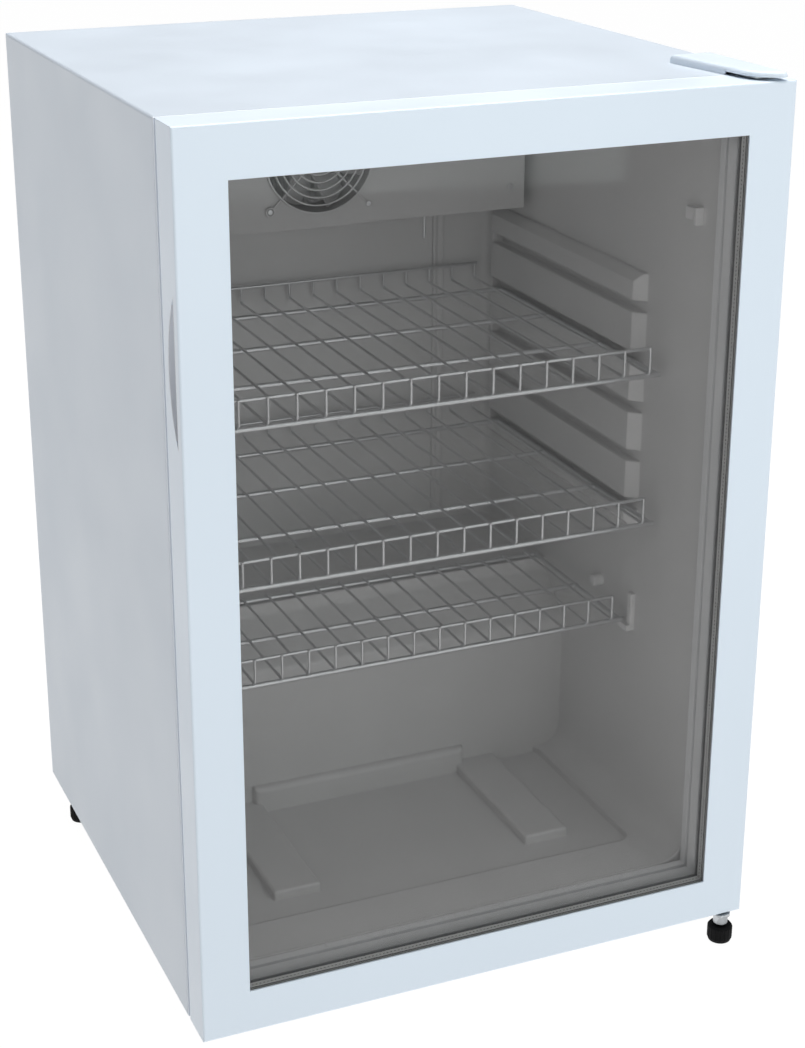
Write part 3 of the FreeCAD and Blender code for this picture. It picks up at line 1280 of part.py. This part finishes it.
def feet():
    """Four screw feet: a ribbed black knob on a bright stud."""
    front_y = size(DOOR_FACE + " - toe + foot_radius")
    spots = {
        "foot_front_right": (size("foot_front_x"), front_y),
        "foot_front_left": (-size("left_foot_x"), y_in(size("left_foot_in"))),
        "foot_rear_left": (-size("rear_foot_x"), y_in(size("rear_foot_in"))),
        "foot_rear_right": (size("rear_foot_x"), y_in(size("rear_foot_in"))),
    }
    plain = polygon(foot_profile()).revolve(Vector(), Vector(0, 0, 1), 360)
    flutes = []
    for count in range(18):
        angle = math.radians(20 * count)
        spot = Vector(math.cos(angle), math.sin(angle), 0) * (size("foot_radius") + 0.6)
        flutes.append(Part.makeCylinder(1.1, size("foot_height"), spot + Vector(0, 0, 3)))
    shape = plain.cut(flutes[0].multiFuse(flutes[1:]))
    for name, (x, y) in spots.items():
        foot = made(name, shape.copy())
        foot.Placement = FreeCAD.Placement(Vector(x, y, 0), FreeCAD.Rotation())
        node(name, foot)
    nuts = []
    for name in ("foot_front_left", "foot_rear_left", "foot_rear_right"):
        x, y = spots[name]
        low = size(LOWER_TOP) - size("plate_thick") - size("nut_high")
        tall = size("foot_gap") - low
        outer = Part.makeCylinder(size("nut_radius") + 2, tall, Vector(x, y, low))
        bore = Part.makeCylinder(size(STUD_HOLE), tall + 2, Vector(x, y, low - 1))
        nuts.append(outer.cut(bore))
    node("foot_sockets", made("foot_sockets", Part.makeCompound(nuts)))


# ------------------------------------------------------------ assembly
outer_wrap()
front_flange()
inner_liner()
foam_insulation()
back_panel()
base_pan()
compressor_plate()
grommets()
compressor()
compressor_motor()
relay_box()
drip_tray()
drain_tube()
refrigerant_lines()
cord_gland()
condenser()
evaporator_cover()
fan_frame()
fan_rotor()
fan_guard()
cover_screws()
evaporator()
sensor_probe()
drain_channel()
control_housing()
lamp()
knob()
rocker()
wall_fittings()
shelves()
door_frame()
glazing()
gasket()
grip_cup()
upper_hinge()
lower_hinge()
hinge_cap()
feet()
doc.recompute()

# ------------------------------------------------------------ checks and files
for obj in doc.Objects:
    if {"Invalid", "Error"} & set(obj.State):
        raise RuntimeError("%s did not build: %s" % (obj.Name, obj.State))
bad = [name for name, obj in NODES.items()
       if obj.Shape.isNull() or not obj.Shape.isValid() or not obj.Shape.Solids]
if bad:
    raise RuntimeError("no valid shape: " + ", ".join(bad))

os.makedirs("parts", exist_ok=True)
for name, obj in NODES.items():
    obj.Shape.exportStep(os.path.join("parts", name + ".step"))
print("%d parts written" % len(NODES))
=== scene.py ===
import bmesh
import bpy
import json
import math
from mathutils import Matrix, Vector


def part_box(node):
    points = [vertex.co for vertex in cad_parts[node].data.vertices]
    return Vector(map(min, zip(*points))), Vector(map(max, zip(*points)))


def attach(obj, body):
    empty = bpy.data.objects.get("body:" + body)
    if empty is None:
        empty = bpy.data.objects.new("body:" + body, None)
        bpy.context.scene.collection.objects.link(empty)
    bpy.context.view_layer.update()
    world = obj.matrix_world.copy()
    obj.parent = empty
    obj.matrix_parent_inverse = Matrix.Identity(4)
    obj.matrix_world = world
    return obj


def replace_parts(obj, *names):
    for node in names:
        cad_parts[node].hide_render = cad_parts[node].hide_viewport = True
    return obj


# A glass-door refrigerator in a pale studio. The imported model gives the
# machine's shape and where everything sits. This script adds the finishes and
# some small pieces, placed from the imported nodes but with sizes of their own.

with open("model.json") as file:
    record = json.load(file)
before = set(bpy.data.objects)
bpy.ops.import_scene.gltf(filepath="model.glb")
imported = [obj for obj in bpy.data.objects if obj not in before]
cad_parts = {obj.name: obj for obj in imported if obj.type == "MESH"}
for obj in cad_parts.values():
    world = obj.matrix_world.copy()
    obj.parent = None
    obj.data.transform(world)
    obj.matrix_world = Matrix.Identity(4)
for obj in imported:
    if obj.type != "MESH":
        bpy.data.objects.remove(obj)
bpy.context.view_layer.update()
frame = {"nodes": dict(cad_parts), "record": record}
nodes = frame["nodes"]
scene = bpy.context.scene


# ------------------------------------------------------------ node materials
class Finish:
    """A Principled material whose colour, roughness and surface follow noise or cells."""

    def __init__(self, name, colour, roughness, metallic=0.0, specular=0.5):
        self.material = bpy.data.materials.new(name)
        self.material.use_nodes = True
        self.tree = self.material.node_tree
        self.shader = self.tree.nodes["Principled BSDF"]
        self.shader.inputs["Base Color"].default_value = (*colour, 1.0)
        self.shader.inputs["Roughness"].default_value = roughness
        self.shader.inputs["Metallic"].default_value = metallic
        self.shader.inputs["Specular IOR Level"].default_value = specular
        self.colour = colour
        self.place = self.tree.nodes.new("ShaderNodeTexCoord").outputs["Object"]
        self.normal = None

    def node(self, kind, **values):
        """A new node with its plain sockets set by name."""
        made = self.tree.nodes.new(kind)
        for key, value in values.items():
            made.inputs[key.replace("_", " ").title()].default_value = value
        return made

    def link(self, output, target):
        self.tree.links.new(output, target)

    def stretched(self, scale):
        """The object's coordinates scaled by three numbers."""
        mapping = self.tree.nodes.new("ShaderNodeMapping")
        mapping.inputs["Scale"].default_value = scale
        self.link(self.place, mapping.inputs["Vector"])
        return mapping.outputs["Vector"]

    def noise(self, scale, detail=3.0, stretch=(1, 1, 1)):
        """Noise of so many cells to the metre."""
        made = self.node("ShaderNodeTexNoise", scale=scale, detail=detail)
        self.link(self.stretched(stretch), made.inputs["Vector"])
        return made.outputs["Fac"]

    def spread(self, value, low, high, start=0.3, end=0.7):
        """A 0 to 1 value spread between two numbers."""
        made = self.tree.nodes.new("ShaderNodeMapRange")
        made.inputs["From Min"].default_value = start
        made.inputs["From Max"].default_value = end
        made.inputs["To Min"].default_value = low
        made.inputs["To Max"].default_value = high
        self.link(value, made.inputs["Value"])
        return made.outputs["Result"]

    def vary_colour(self, value, other, share=1.0):
        """The colour drifts towards another where value is high."""
        mix = self.tree.nodes.new("ShaderNodeMix")
        mix.data_type = "RGBA"
        mix.inputs["A"].default_value = (*self.colour, 1.0)
        mix.inputs["B"].default_value = (*other, 1.0)
        self.link(self.spread(value, 0.0, share), mix.inputs["Factor"])
        self.link(mix.outputs["Result"], self.shader.inputs["Base Color"])
        return self

    def vary_roughness(self, value, low, high):
        self.link(self.spread(value, low, high), self.shader.inputs["Roughness"])
        return self

    def bump(self, height, strength, distance):
        """Adds a bump of so many metres at full height."""
        made = self.tree.nodes.new("ShaderNodeBump")
        made.inputs["Strength"].default_value = strength
        made.inputs["Distance"].default_value = distance
        self.link(height, made.inputs["Height"])
        if self.normal:
            self.link(self.normal, made.inputs["Normal"])
        self.normal = made.outputs["Normal"]
        self.link(self.normal, self.shader.inputs["Normal"])
        return self

    def soften(self, radius):
        """Edges look rounded by so many metres."""
        made = self.tree.nodes.new("ShaderNodeBevel")
        made.samples = 8
        made.inputs["Radius"].default_value = radius
        self.normal = made.outputs["Normal"]
        self.link(self.normal, self.shader.inputs["Normal"])
        return self


def shade(colour, factor):
    """A colour made lighter or darker."""
    return tuple(min(1.0, part * factor) for part in colour)


def enamel(name, colour, roughness=0.38, peel=0.00004, edge=0.0006):
    """Powder coat or paint with faint orange peel."""
    finish = Finish(name, colour, roughness)
    finish.soften(edge)
    finish.vary_colour(finish.noise(3.0), shade(colour, 0.975))
    finish.vary_roughness(finish.noise(9.0), roughness - 0.05, roughness + 0.06)
    return finish.bump(finish.noise(900.0, 2.0), 0.25, peel).material


def moulded(name, colour, roughness=0.4, grain=1400.0, depth=0.00003,
            edge=0.0006, specular=0.5, patch=0.07):
    """Moulded plastic: grain is its cells to the metre, patch the drift of its roughness."""
    finish = Finish(name, colour, roughness, specular=specular)
    finish.soften(edge)
    finish.vary_colour(finish.noise(14.0), shade(colour, 0.95))
    finish.vary_roughness(finish.noise(30.0), roughness - patch, roughness + patch)
    return finish.bump(finish.noise(grain, 2.0), 0.3, depth).material


def drawn_metal(name, colour, roughness=0.3, stretch=(1, 1, 30), scale=260.0):
    """Bright metal with fine drawing lines."""
    finish = Finish(name, colour, roughness, metallic=1.0)
    lines = finish.noise(scale, 4.0, stretch)
    finish.vary_colour(lines, shade(colour, 0.86))
    finish.vary_roughness(lines, roughness - 0.08, roughness + 0.1)
    return finish.bump(lines, 0.12, 0.00002).material


def spangled(name, colour):
    """Zinc-coated sheet with its crystal pattern."""
    finish = Finish(name, colour, 0.42, metallic=1.0)
    cells = finish.node("ShaderNodeTexVoronoi", scale=110.0)
    finish.link(finish.stretched((1, 1, 1)), cells.inputs["Vector"])
    grey = finish.tree.nodes.new("ShaderNodeRGBToBW")
    finish.link(cells.outputs["Color"], grey.inputs["Color"])
    finish.vary_colour(grey.outputs["Val"], shade(colour, 0.8))
    finish.vary_roughness(grey.outputs["Val"], 0.34, 0.56)
    return finish.bump(finish.noise(500.0, 2.0), 0.1, 0.00002).material


def tinted_glass(name, tint, opacity):
    """Thin tinted glass: mostly see-through, with a soft mirror and faint smears."""
    finish = Finish(name, tint, 0.03, specular=0.6)
    finish.shader.inputs["Alpha"].default_value = opacity
    smear = finish.noise(7.0, 5.0, (1, 1, 0.35))
    finish.vary_roughness(smear, 0.015, 0.07)
    finish.vary_colour(smear, shade(tint, 1.3))
    return finish.material


def soft_rubber(name, colour, drift=1.25):
    """Matt rubber or vinyl whose colour drifts a little."""
    finish = Finish(name, colour, 0.62, specular=0.35)
    finish.vary_colour(finish.noise(60.0), shade(colour, drift))
    finish.vary_roughness(finish.noise(90.0), 0.5, 0.75)
    return finish.bump(finish.noise(1800.0, 2.0), 0.35, 0.00003).material


def rigid_foam(name, colour):
    """Cut polyurethane foam with its open cells."""
    finish = Finish(name, colour, 0.9, specular=0.2)
    cells = finish.node("ShaderNodeTexVoronoi", scale=420.0)
    finish.link(finish.stretched((1, 1, 1)), cells.inputs["Vector"])
    finish.vary_colour(finish.noise(40.0), shade(colour, 0.86))
    return finish.bump(cells.outputs["Distance"], 0.6, 0.0006).material


# The finish of each material slot in the part's record.
FINISHES = {
    "painted_sheet": enamel("white_enamel", (0.648, 0.712, 0.788), 0.36),
    "cover_sheet": enamel("cover_enamel", (0.62, 0.62, 0.62), 0.42),
    "liner_plastic": moulded("liner_abs", (0.74, 0.74, 0.74), 0.25, 240.0, 0.000003,
                             edge=0.003, patch=0.02),
    "fitting_plastic": moulded("fitting_plastic", (0.86, 0.86, 0.86), 0.3),
    "foam": rigid_foam("polyurethane", (0.72, 0.58, 0.33)),
    "zinc_sheet": spangled("zinc", (0.55, 0.57, 0.59)),
    "bright_steel": drawn_metal("bright_steel", (0.72, 0.73, 0.74), 0.25),
    "black_enamel": enamel("black_enamel", (0.018, 0.018, 0.020), 0.42),
    "motor_iron": enamel("motor_iron", (0.16, 0.16, 0.17), 0.6),
    "black_rubber": soft_rubber("black_rubber", (0.022, 0.022, 0.023)),
    "dark_plastic": moulded("dark_plastic", (0.045, 0.046, 0.05), 0.5),
    "fan_plastic": moulded("fan_plastic", (0.55, 0.55, 0.55), 0.5),
    "pale_plastic": moulded("pale_plastic", (0.62, 0.64, 0.66), 0.45),
    "copper": drawn_metal("copper", (0.64, 0.34, 0.20), 0.36),
    "coil_aluminium": drawn_metal("coil_aluminium", (0.78, 0.79, 0.80), 0.35, (40, 1, 1)),
    "guard_wire": drawn_metal("guard_wire", (0.66, 0.66, 0.66), 0.40),
    "shelf_wire": drawn_metal("shelf_wire", (0.80, 0.81, 0.82), 0.3),
    "control_plastic": moulded("control_plastic", (0.78, 0.80, 0.82), 0.38),
    "knob_plastic": moulded("knob_plastic", (0.12, 0.14, 0.16), 0.42),
    "rocker_plastic": moulded("rocker_plastic", (0.02, 0.02, 0.022), 0.22),
    "lens_plastic": moulded("lens_plastic", (0.86, 0.88, 0.90), 0.28, 500.0),
    "board": enamel("lamp_board", (0.70, 0.72, 0.70), 0.5),
    "door_plastic": enamel("door_enamel", (0.775, 0.857, 0.95), 0.34),
    "inner_frame_plastic": moulded("inner_frame_plastic", (0.84, 0.85, 0.86), 0.4),
    "pane_glass": tinted_glass("tinted_glass", (0.004, 0.005, 0.005), 0.17),
    "spacer_bar": enamel("spacer_bar", (0.78, 0.78, 0.77), 0.45),
    "seal_rubber": soft_rubber("seal_rubber", (0.78, 0.83, 0.90), 0.97),
    "cup_plastic": moulded("cup_plastic", (0.80, 0.83, 0.88), 0.45),
    "bush_nylon": moulded("bush_nylon", (0.74, 0.74, 0.72), 0.5),
    "foot_plastic": moulded("foot_plastic", (0.004, 0.004, 0.0045), 0.6, specular=0.12),
}


def dress_nodes():
    """Gives each carried node the finish of its slot."""
    slots = {part["node"]: part["material_slot"] for part in frame["record"]["subparts"]}
    for name, piece in nodes.items():
        piece.data.materials.clear()
        piece.data.materials.append(FINISHES[slots[name]])


dress_nodes()


# ------------------------------------------------------------ added pieces
SHARP_ANGLE = math.radians(38.0)
# From the spacer bar's outer edge to its inner face.
SPACER_WIDE = 0.0095


def add(name, mesh, slot, body):
    """A piece from a bmesh: finished by its slot and riding on its body."""
    bmesh.ops.recalc_face_normals(mesh, faces=mesh.faces)
    data = bpy.data.meshes.new(name)
    mesh.to_mesh(data)
    mesh.free()
    data.shade_smooth()
    data.set_sharp_from_angle(angle=SHARP_ANGLE)
    data.materials.append(FINISHES[slot])
    piece = bpy.data.objects.new(name, data)
    scene.collection.objects.link(piece)
    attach(piece, body)
    return piece


def band(mesh, low, high, profile):
    """A closed band round an upright rectangle, from inset and depth points."""
    loops = []
    for inset, depth in profile:
        left, right = low.x + inset, high.x - inset
        foot, head = low.z + inset, high.z - inset
        corners = ((left, foot), (right, foot), (right, head), (left, head))
        loops.append([mesh.verts.new((x, depth, z)) for x, z in corners])
    for here, there in zip(loops, loops[1:] + loops[:1]):
        for i in range(4):
            j = (i + 1) % 4
            mesh.faces.new((here[i], here[j], there[j], there[i]))


def turned(mesh, centre, axis, profile, sides=28):
    """Radius and height pairs turned about an axis through a point."""
    tilt = Vector((0.0, 0.0, 1.0)).rotation_difference(Vector(axis))
    loops = []
    for radius, height in profile:
        loop = []
        for i in range(sides):
            angle = 2.0 * math.pi * i / sides
            point = Vector((radius * math.cos(angle), radius * math.sin(angle), height))
            loop.append(mesh.verts.new(centre + tilt @ point))
        loops.append(loop)
    for here, there in zip(loops, loops[1:]):
        for i in range(sides):
            j = (i + 1) % sides
            mesh.faces.new((here[i], here[j], there[j], there[i]))
    mesh.faces.new(loops[0])
    mesh.faces.new(loops[-1])


def slab(mesh, low, high, soft=0.0):
    """A box between two corners, its edges bevelled by soft."""
    sides = Vector(high) - Vector(low)
    place = Matrix.Translation((Vector(low) + Vector(high)) / 2.0) @ Matrix.Diagonal((*sides, 1.0))
    made = bmesh.ops.create_cube(mesh, size=1.0, matrix=place)
    if soft:
        edges = {edge for corner in made["verts"] for edge in corner.link_edges}
        bmesh.ops.bevel(mesh, geom=list(edges), offset=soft, segments=2, profile=0.6, affect="EDGES")


def screw(mesh, place, axis, radius=0.004):
    """A hexagon head on its own washer, standing on a surface."""
    rim, washer = 0.0002, 0.0008
    turned(mesh, place, axis, ((radius, 0.0), (radius, 0.0005), (radius - rim, washer)))
    head, chamfer, top = 0.62 * radius, 0.0003, 0.0024
    profile = ((head, 0.0006), (head, top - chamfer), (head - chamfer, top))
    turned(mesh, place, axis, profile, 6)


def gasket():
    """The bellows seal on the back of the door: a magnet strip, a fold and a skirt."""
    low, high = (corner.copy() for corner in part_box("door_gasket"))
    clear, flush = 0.00004, 0.00015
    back = low.y
    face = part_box("front_flange")[0].y - clear
    door_low, door_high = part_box("door_frame")
    low.x, low.z, high.z = door_low.x + flush, door_low.z + flush, door_high.z - flush
    profile = [(0.0, back), (0.0, face), (0.0118, face)]
    profile += [(0.0130, face - 0.0004), (0.0134, back + 0.0011)]
    profile += [(0.0162, back + 0.0010), (0.0172, back + 0.0028), (0.0184, back + 0.0030)]
    profile += [(0.0190, back + 0.0016), (0.0200, back + 0.0010), (0.0200, back)]
    mesh = bmesh.new()
    band(mesh, low, high, profile)
    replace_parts(add("gasket_profile", mesh, "seal_rubber", "door"), "door_gasket")


def pane_seals():
    """The black butyl line between each pane and the spacer bar."""
    low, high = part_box("glass_spacer")
    bead, sunk = 0.0004, 0.0002
    start = SPACER_WIDE - sunk
    mesh = bmesh.new()
    for pane, inward in ((low.y, 1.0), (high.y, -1.0)):
        edge = pane + inward * bead
        profile = [(start, pane), (start + bead, pane), (start + bead, edge), (start, edge)]
        band(mesh, low, high, profile)
    add("pane_seals", mesh, "black_rubber", "door")


def spacer_slot_shade():
    """Painted shade of the row of desiccant slots along the inner face of the spacer bar: thin black
    blocks stand where the slots' dark holes would be.
    """
    low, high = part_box("glass_spacer")
    middle = (low.y + high.y) / 2.0
    pitch, reach, half, proud = 0.0036, 0.0008, 0.00035, 0.00008
    mesh = bmesh.new()
    left, right = low.x + SPACER_WIDE, high.x - SPACER_WIDE
    foot, head = low.z + SPACER_WIDE, high.z - SPACER_WIDE
    for i in range(int((right - left) / pitch)):
        x = left + (i + 0.5) * pitch
        for z in (foot, head):
            slab(mesh, (x - reach, middle - half, z - proud), (x + reach, middle + half, z + proud))
    for i in range(int((head - foot) / pitch)):
        z = foot + (i + 0.5) * pitch
        for x in (left, right):
            slab(mesh, (x - proud, middle - half, z - reach), (x + proud, middle + half, z + reach))
    # The black blocks are painted shade for the slot holes, not rubber parts.
    add("spacer_slot_shade", mesh, "black_rubber", "door")


def dial_marks():
    """Raised ticks round the thermostat knob, longer at every third."""
    low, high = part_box("thermostat_knob")
    centre = (low + high) / 2.0
    centre.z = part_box("control_housing")[0].z
    ring, half, proud = 0.0175, 0.0004, 0.0003
    first, step, marks = -135.0, 30.0, 10
    mesh = bmesh.new()
    for i in range(marks):
        angle = math.radians(first + step * i)
        long = 0.0040 if i % 3 == 0 else 0.0024
        start = mesh.verts[:]
        slab(mesh, (-half, ring, -proud), (half, ring + long, proud), 0.0001)
        fresh = [corner for corner in mesh.verts if corner not in start]
        bmesh.ops.rotate(mesh, verts=fresh, matrix=Matrix.Rotation(angle, 3, "Z"))
        bmesh.ops.translate(mesh, verts=fresh, vec=centre)
    add("dial_marks", mesh, "knob_plastic", "cabinet")


def rocker_bezel():
    """The snap-in rim round the lamp's rocker."""
    low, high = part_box("lamp_switch")
    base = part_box("control_housing")[0].z
    gap, wide, proud, sunk = 0.0009, 0.0018, 0.0011, 0.0002
    mesh = bmesh.new()
    rims = (((low.x - gap - wide, low.y - gap - wide), (high.x + gap + wide, low.y - gap)),
            ((low.x - gap - wide, high.y + gap), (high.x + gap + wide, high.y + gap + wide)),
            ((low.x - gap - wide, low.y - gap), (low.x - gap, high.y + gap)),
            ((high.x + gap, low.y - gap), (high.x + gap + wide, high.y + gap)))
    for near, far in rims:
        slab(mesh, (*near, base - proud), (*far, base + sunk), 0.0004)
    add("rocker_bezel", mesh, "rocker_plastic", "cabinet")


def back_hem():
    """The wrap's folded hem over the back sheet and beside the machine compartment."""
    low, high = (corner.copy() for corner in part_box("back_panel"))
    wrap_low, wrap_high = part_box("outer_wrap")
    wide, thick, inset = 0.013, 0.0009, 0.0003
    low.x, high.x, high.z = wrap_low.x + inset, wrap_high.x - inset, wrap_high.z - inset
    face = high.y
    mesh = bmesh.new()
    slab(mesh, (low.x, face, high.z - wide), (high.x, face + thick, high.z), inset)
    for near in (low.x, high.x - wide):
        slab(mesh, (near, face, low.z), (near + wide, face + thick, high.z - wide), inset)
        slab(mesh, (near, face, wrap_low.z), (near + wide, face + thick, low.z), inset)
    add("back_hem", mesh, "painted_sheet", "cabinet")
    hem_screws(low, high, face + thick, wide / 2)


def hem_screws(low, high, face, middle):
    """Screws along the middle of the hem, up both sides and across the top."""
    rows, margin, spread = 5, 0.03, 0.16
    mesh = bmesh.new()
    for i in range(rows):
        z = low.z + margin + (high.z - low.z - 2 * margin) * i / (rows - 1)
        for x in (low.x + middle, high.x - middle):
            screw(mesh, Vector((x, face, z)), (0, 1, 0))
    for x in (-spread, 0.0, spread):
        screw(mesh, Vector((x, face, high.z - middle)), (0, 1, 0))
    add("back_screws", mesh, "bright_steel", "cabinet")


def bay_lining():
    """The zinc sheet that lines the machine compartment's sides, front and roof."""
    low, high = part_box("compressor_plate")
    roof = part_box("back_panel")[0].z
    thick, gap, soft = 0.0006, 0.0003, 0.0001
    plate, lip, rim = 0.003, 0.004, 0.001
    foot, rear = high.z + gap, high.y - rim
    deck = low.z + plate + gap
    head = roof - thick
    mesh = bmesh.new()
    slab(mesh, (low.x, low.y, foot), (low.x + thick, rear, head), soft)
    slab(mesh, (high.x - thick, low.y, foot), (high.x, rear, head), soft)
    slab(mesh, (low.x + lip, low.y, deck), (high.x - lip, low.y + thick, head), soft)
    slab(mesh, (low.x, low.y, head), (high.x, rear, roof), soft)
    add("bay_lining", mesh, "zinc_sheet", "cabinet")


def bracket_screws():
    """A screw through each foot of the condenser's brackets."""
    low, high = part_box("condenser_brackets")
    side, end, foot = 0.006, 0.012, 0.0012
    mesh = bmesh.new()
    for x in (low.x + side, high.x - side):
        for z in (low.z + end, high.z - end):
            screw(mesh, Vector((x, low.y + foot, z)), (0, 1, 0), 0.0034)
    add("bracket_screws", mesh, "bright_steel", "cabinet")


def charging_tube():
    """The compressor's short copper stub, crimped flat at its end."""
    low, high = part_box("compressor_motor")
    centre = (low + high) / 2.0
    shell_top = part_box("compressor_shell")[1].z
    start = Vector((centre.x + 0.052, centre.y + 0.030, shell_top - 0.040))
    lean = (0.35, 0.25, 1.0)
    bore, crimp = 0.0031, 0.0012
    profile = ((bore, 0.0), (bore, 0.030), (0.0026, 0.033), (crimp, 0.036), (crimp, 0.044))
    mesh = bmesh.new()
    turned(mesh, start, lean, profile, 20)
    add("charging_tube", mesh, "copper", "cabinet")


def relay_clip():
    """The spring strip that holds the relay's cover."""
    low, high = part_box("relay_cover")
    middle = (low.z + high.z) / 2.0
    thick, inset, half = 0.0008, 0.004, 0.002
    mesh = bmesh.new()
    near = (low.x - thick, low.y + inset, middle - half)
    far = (low.x, high.y - inset, middle + half)
    slab(mesh, near, far, 0.0003)
    add("relay_clip", mesh, "bright_steel", "cabinet")


def hub_cap():
    """The stepped cap on the fan's hub."""
    low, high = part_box("fan_rotor")
    centre = (low + high) / 2.0
    centre.y = low.y
    mesh = bmesh.new()
    rim, raised, groove = 0.0185, 0.0007, 0.0002
    profile = ((rim, -0.0004), (rim, 0.0003), (0.0178, raised), (0.0120, raised),
               (0.0114, groove), (0.0060, groove), (0.0054, 0.0006), (0.0010, raised))
    turned(mesh, centre, (0, -1, 0), profile, 48)
    add("hub_cap", mesh, "fan_plastic", "fan")


def add_pieces():
    """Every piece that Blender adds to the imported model."""
    gasket()
    pane_seals()
    spacer_slot_shade()
    dial_marks()
    rocker_bezel()
    back_hem()
    bay_lining()
    bracket_screws()
    charging_tube()
    relay_clip()
    hub_cap()


add_pieces()


# ------------------------------------------------------------ studio
FLOOR_SIZE = 160.0
FLOOR_DROP = 0.0005
COOL_LIGHT = (0.92, 1.0, 1.0)
WARM_LIGHT = (1.0, 0.985, 0.975)


def studio():
    """The floor and sky, soft light in front and above, and a soft panel behind the door."""
    studio_floor()
    scene.world = studio_sky()
    middle = Vector((0.0, 0.0, 0.45))
    softbox("key_light", Vector((1.0, -3.0, 2.3)), middle, (2.4, 2.4), 25.0, COOL_LIGHT)
    softbox("fill_light", Vector((0.6, -3.2, 0.55)), middle, (2.2, 0.9), 11.6, COOL_LIGHT)
    softbox("top_light", Vector((0.45, 0.4, 3.4)), middle, (2.6, 2.6), 117.0)
    low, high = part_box("glass_inner")
    mouth = Vector((0.0, high.y + 0.002, 0.5 * (low.z + high.z)))
    inward = mouth + Vector((0, 1, 0))
    softbox("cold_space_light", mouth, inward, (0.46, 0.70), 0.56, WARM_LIGHT)


def studio_floor():
    """A wide floor that glows white by its own emission, just under the feet."""
    bpy.ops.mesh.primitive_plane_add(size=FLOOR_SIZE, location=(0.0, 0.0, -FLOOR_DROP))
    floor = bpy.context.object
    floor.name = "studio_floor"
    paper = Finish("studio_paper", (0.06, 0.06, 0.06), 0.9, specular=0.1)
    paper.vary_roughness(paper.noise(2.0), 0.85, 0.95)
    paper.shader.inputs["Emission Color"].default_value = (1.0, 1.0, 1.0, 1.0)
    paper.shader.inputs["Emission Strength"].default_value = 0.98
    floor.data.materials.append(paper.material)


def studio_sky():
    """Evenly pale where the camera sees it; what it casts on things fades from the horizon up."""
    world = bpy.data.worlds.new("studio_sky")
    world.use_nodes = True
    tree = world.node_tree
    sky = tree.nodes["Background"]
    sky.inputs["Color"].default_value = (1.0, 1.0, 1.0, 1.0)
    place = tree.nodes.new("ShaderNodeTexCoord")
    height = tree.nodes.new("ShaderNodeSeparateXYZ")
    tree.links.new(place.outputs["Generated"], height.inputs["Vector"])
    fade = tree.nodes.new("ShaderNodeMapRange")
    limits = {"From Min": 0.0, "From Max": 0.16, "To Min": 0.66, "To Max": 0.12}
    for socket, value in limits.items():
        fade.inputs[socket].default_value = value
    tree.links.new(height.outputs["Z"], fade.inputs["Value"])
    rays = tree.nodes.new("ShaderNodeLightPath")
    backdrop = tree.nodes.new("ShaderNodeMix")
    backdrop.inputs["B"].default_value = 0.90
    tree.links.new(rays.outputs["Is Camera Ray"], backdrop.inputs["Factor"])
    tree.links.new(fade.outputs["Result"], backdrop.inputs["A"])
    tree.links.new(backdrop.outputs["Result"], sky.inputs["Strength"])
    return world


def softbox(name, place, target, size, power, colour=(1.0, 1.0, 1.0)):
    """A rectangular area light of so many watts, aimed at a point."""
    light = bpy.data.lights.new(name, "AREA")
    light.shape = "RECTANGLE"
    light.size, light.size_y = size
    light.energy = power
    light.color = colour
    holder = bpy.data.objects.new(name, light)
    scene.collection.objects.link(holder)
    holder.location = place
    holder.rotation_euler = (target - place).to_track_quat("-Z", "Y").to_euler()


def camera():
    """A camera left of centre, a little above the top and looking down at the door."""
    pitch_down, heading = math.radians(20.189), math.radians(-22.961)
    lens = bpy.data.cameras.new("viewer")
    lens.sensor_width = 36.0
    lens.lens = 69.553
    lens.shift_x = 0.01569
    lens.shift_y = -0.04950
    lens.clip_end = 200.0
    holder = bpy.data.objects.new("viewer", lens)
    scene.collection.objects.link(holder)
    holder.location = (-0.7116, -1.7180, 1.1180)
    holder.rotation_euler = (math.radians(90.0) - pitch_down, 0.0, heading)
    scene.camera = holder


studio()
camera()
scene.view_settings.view_transform = "Standard"
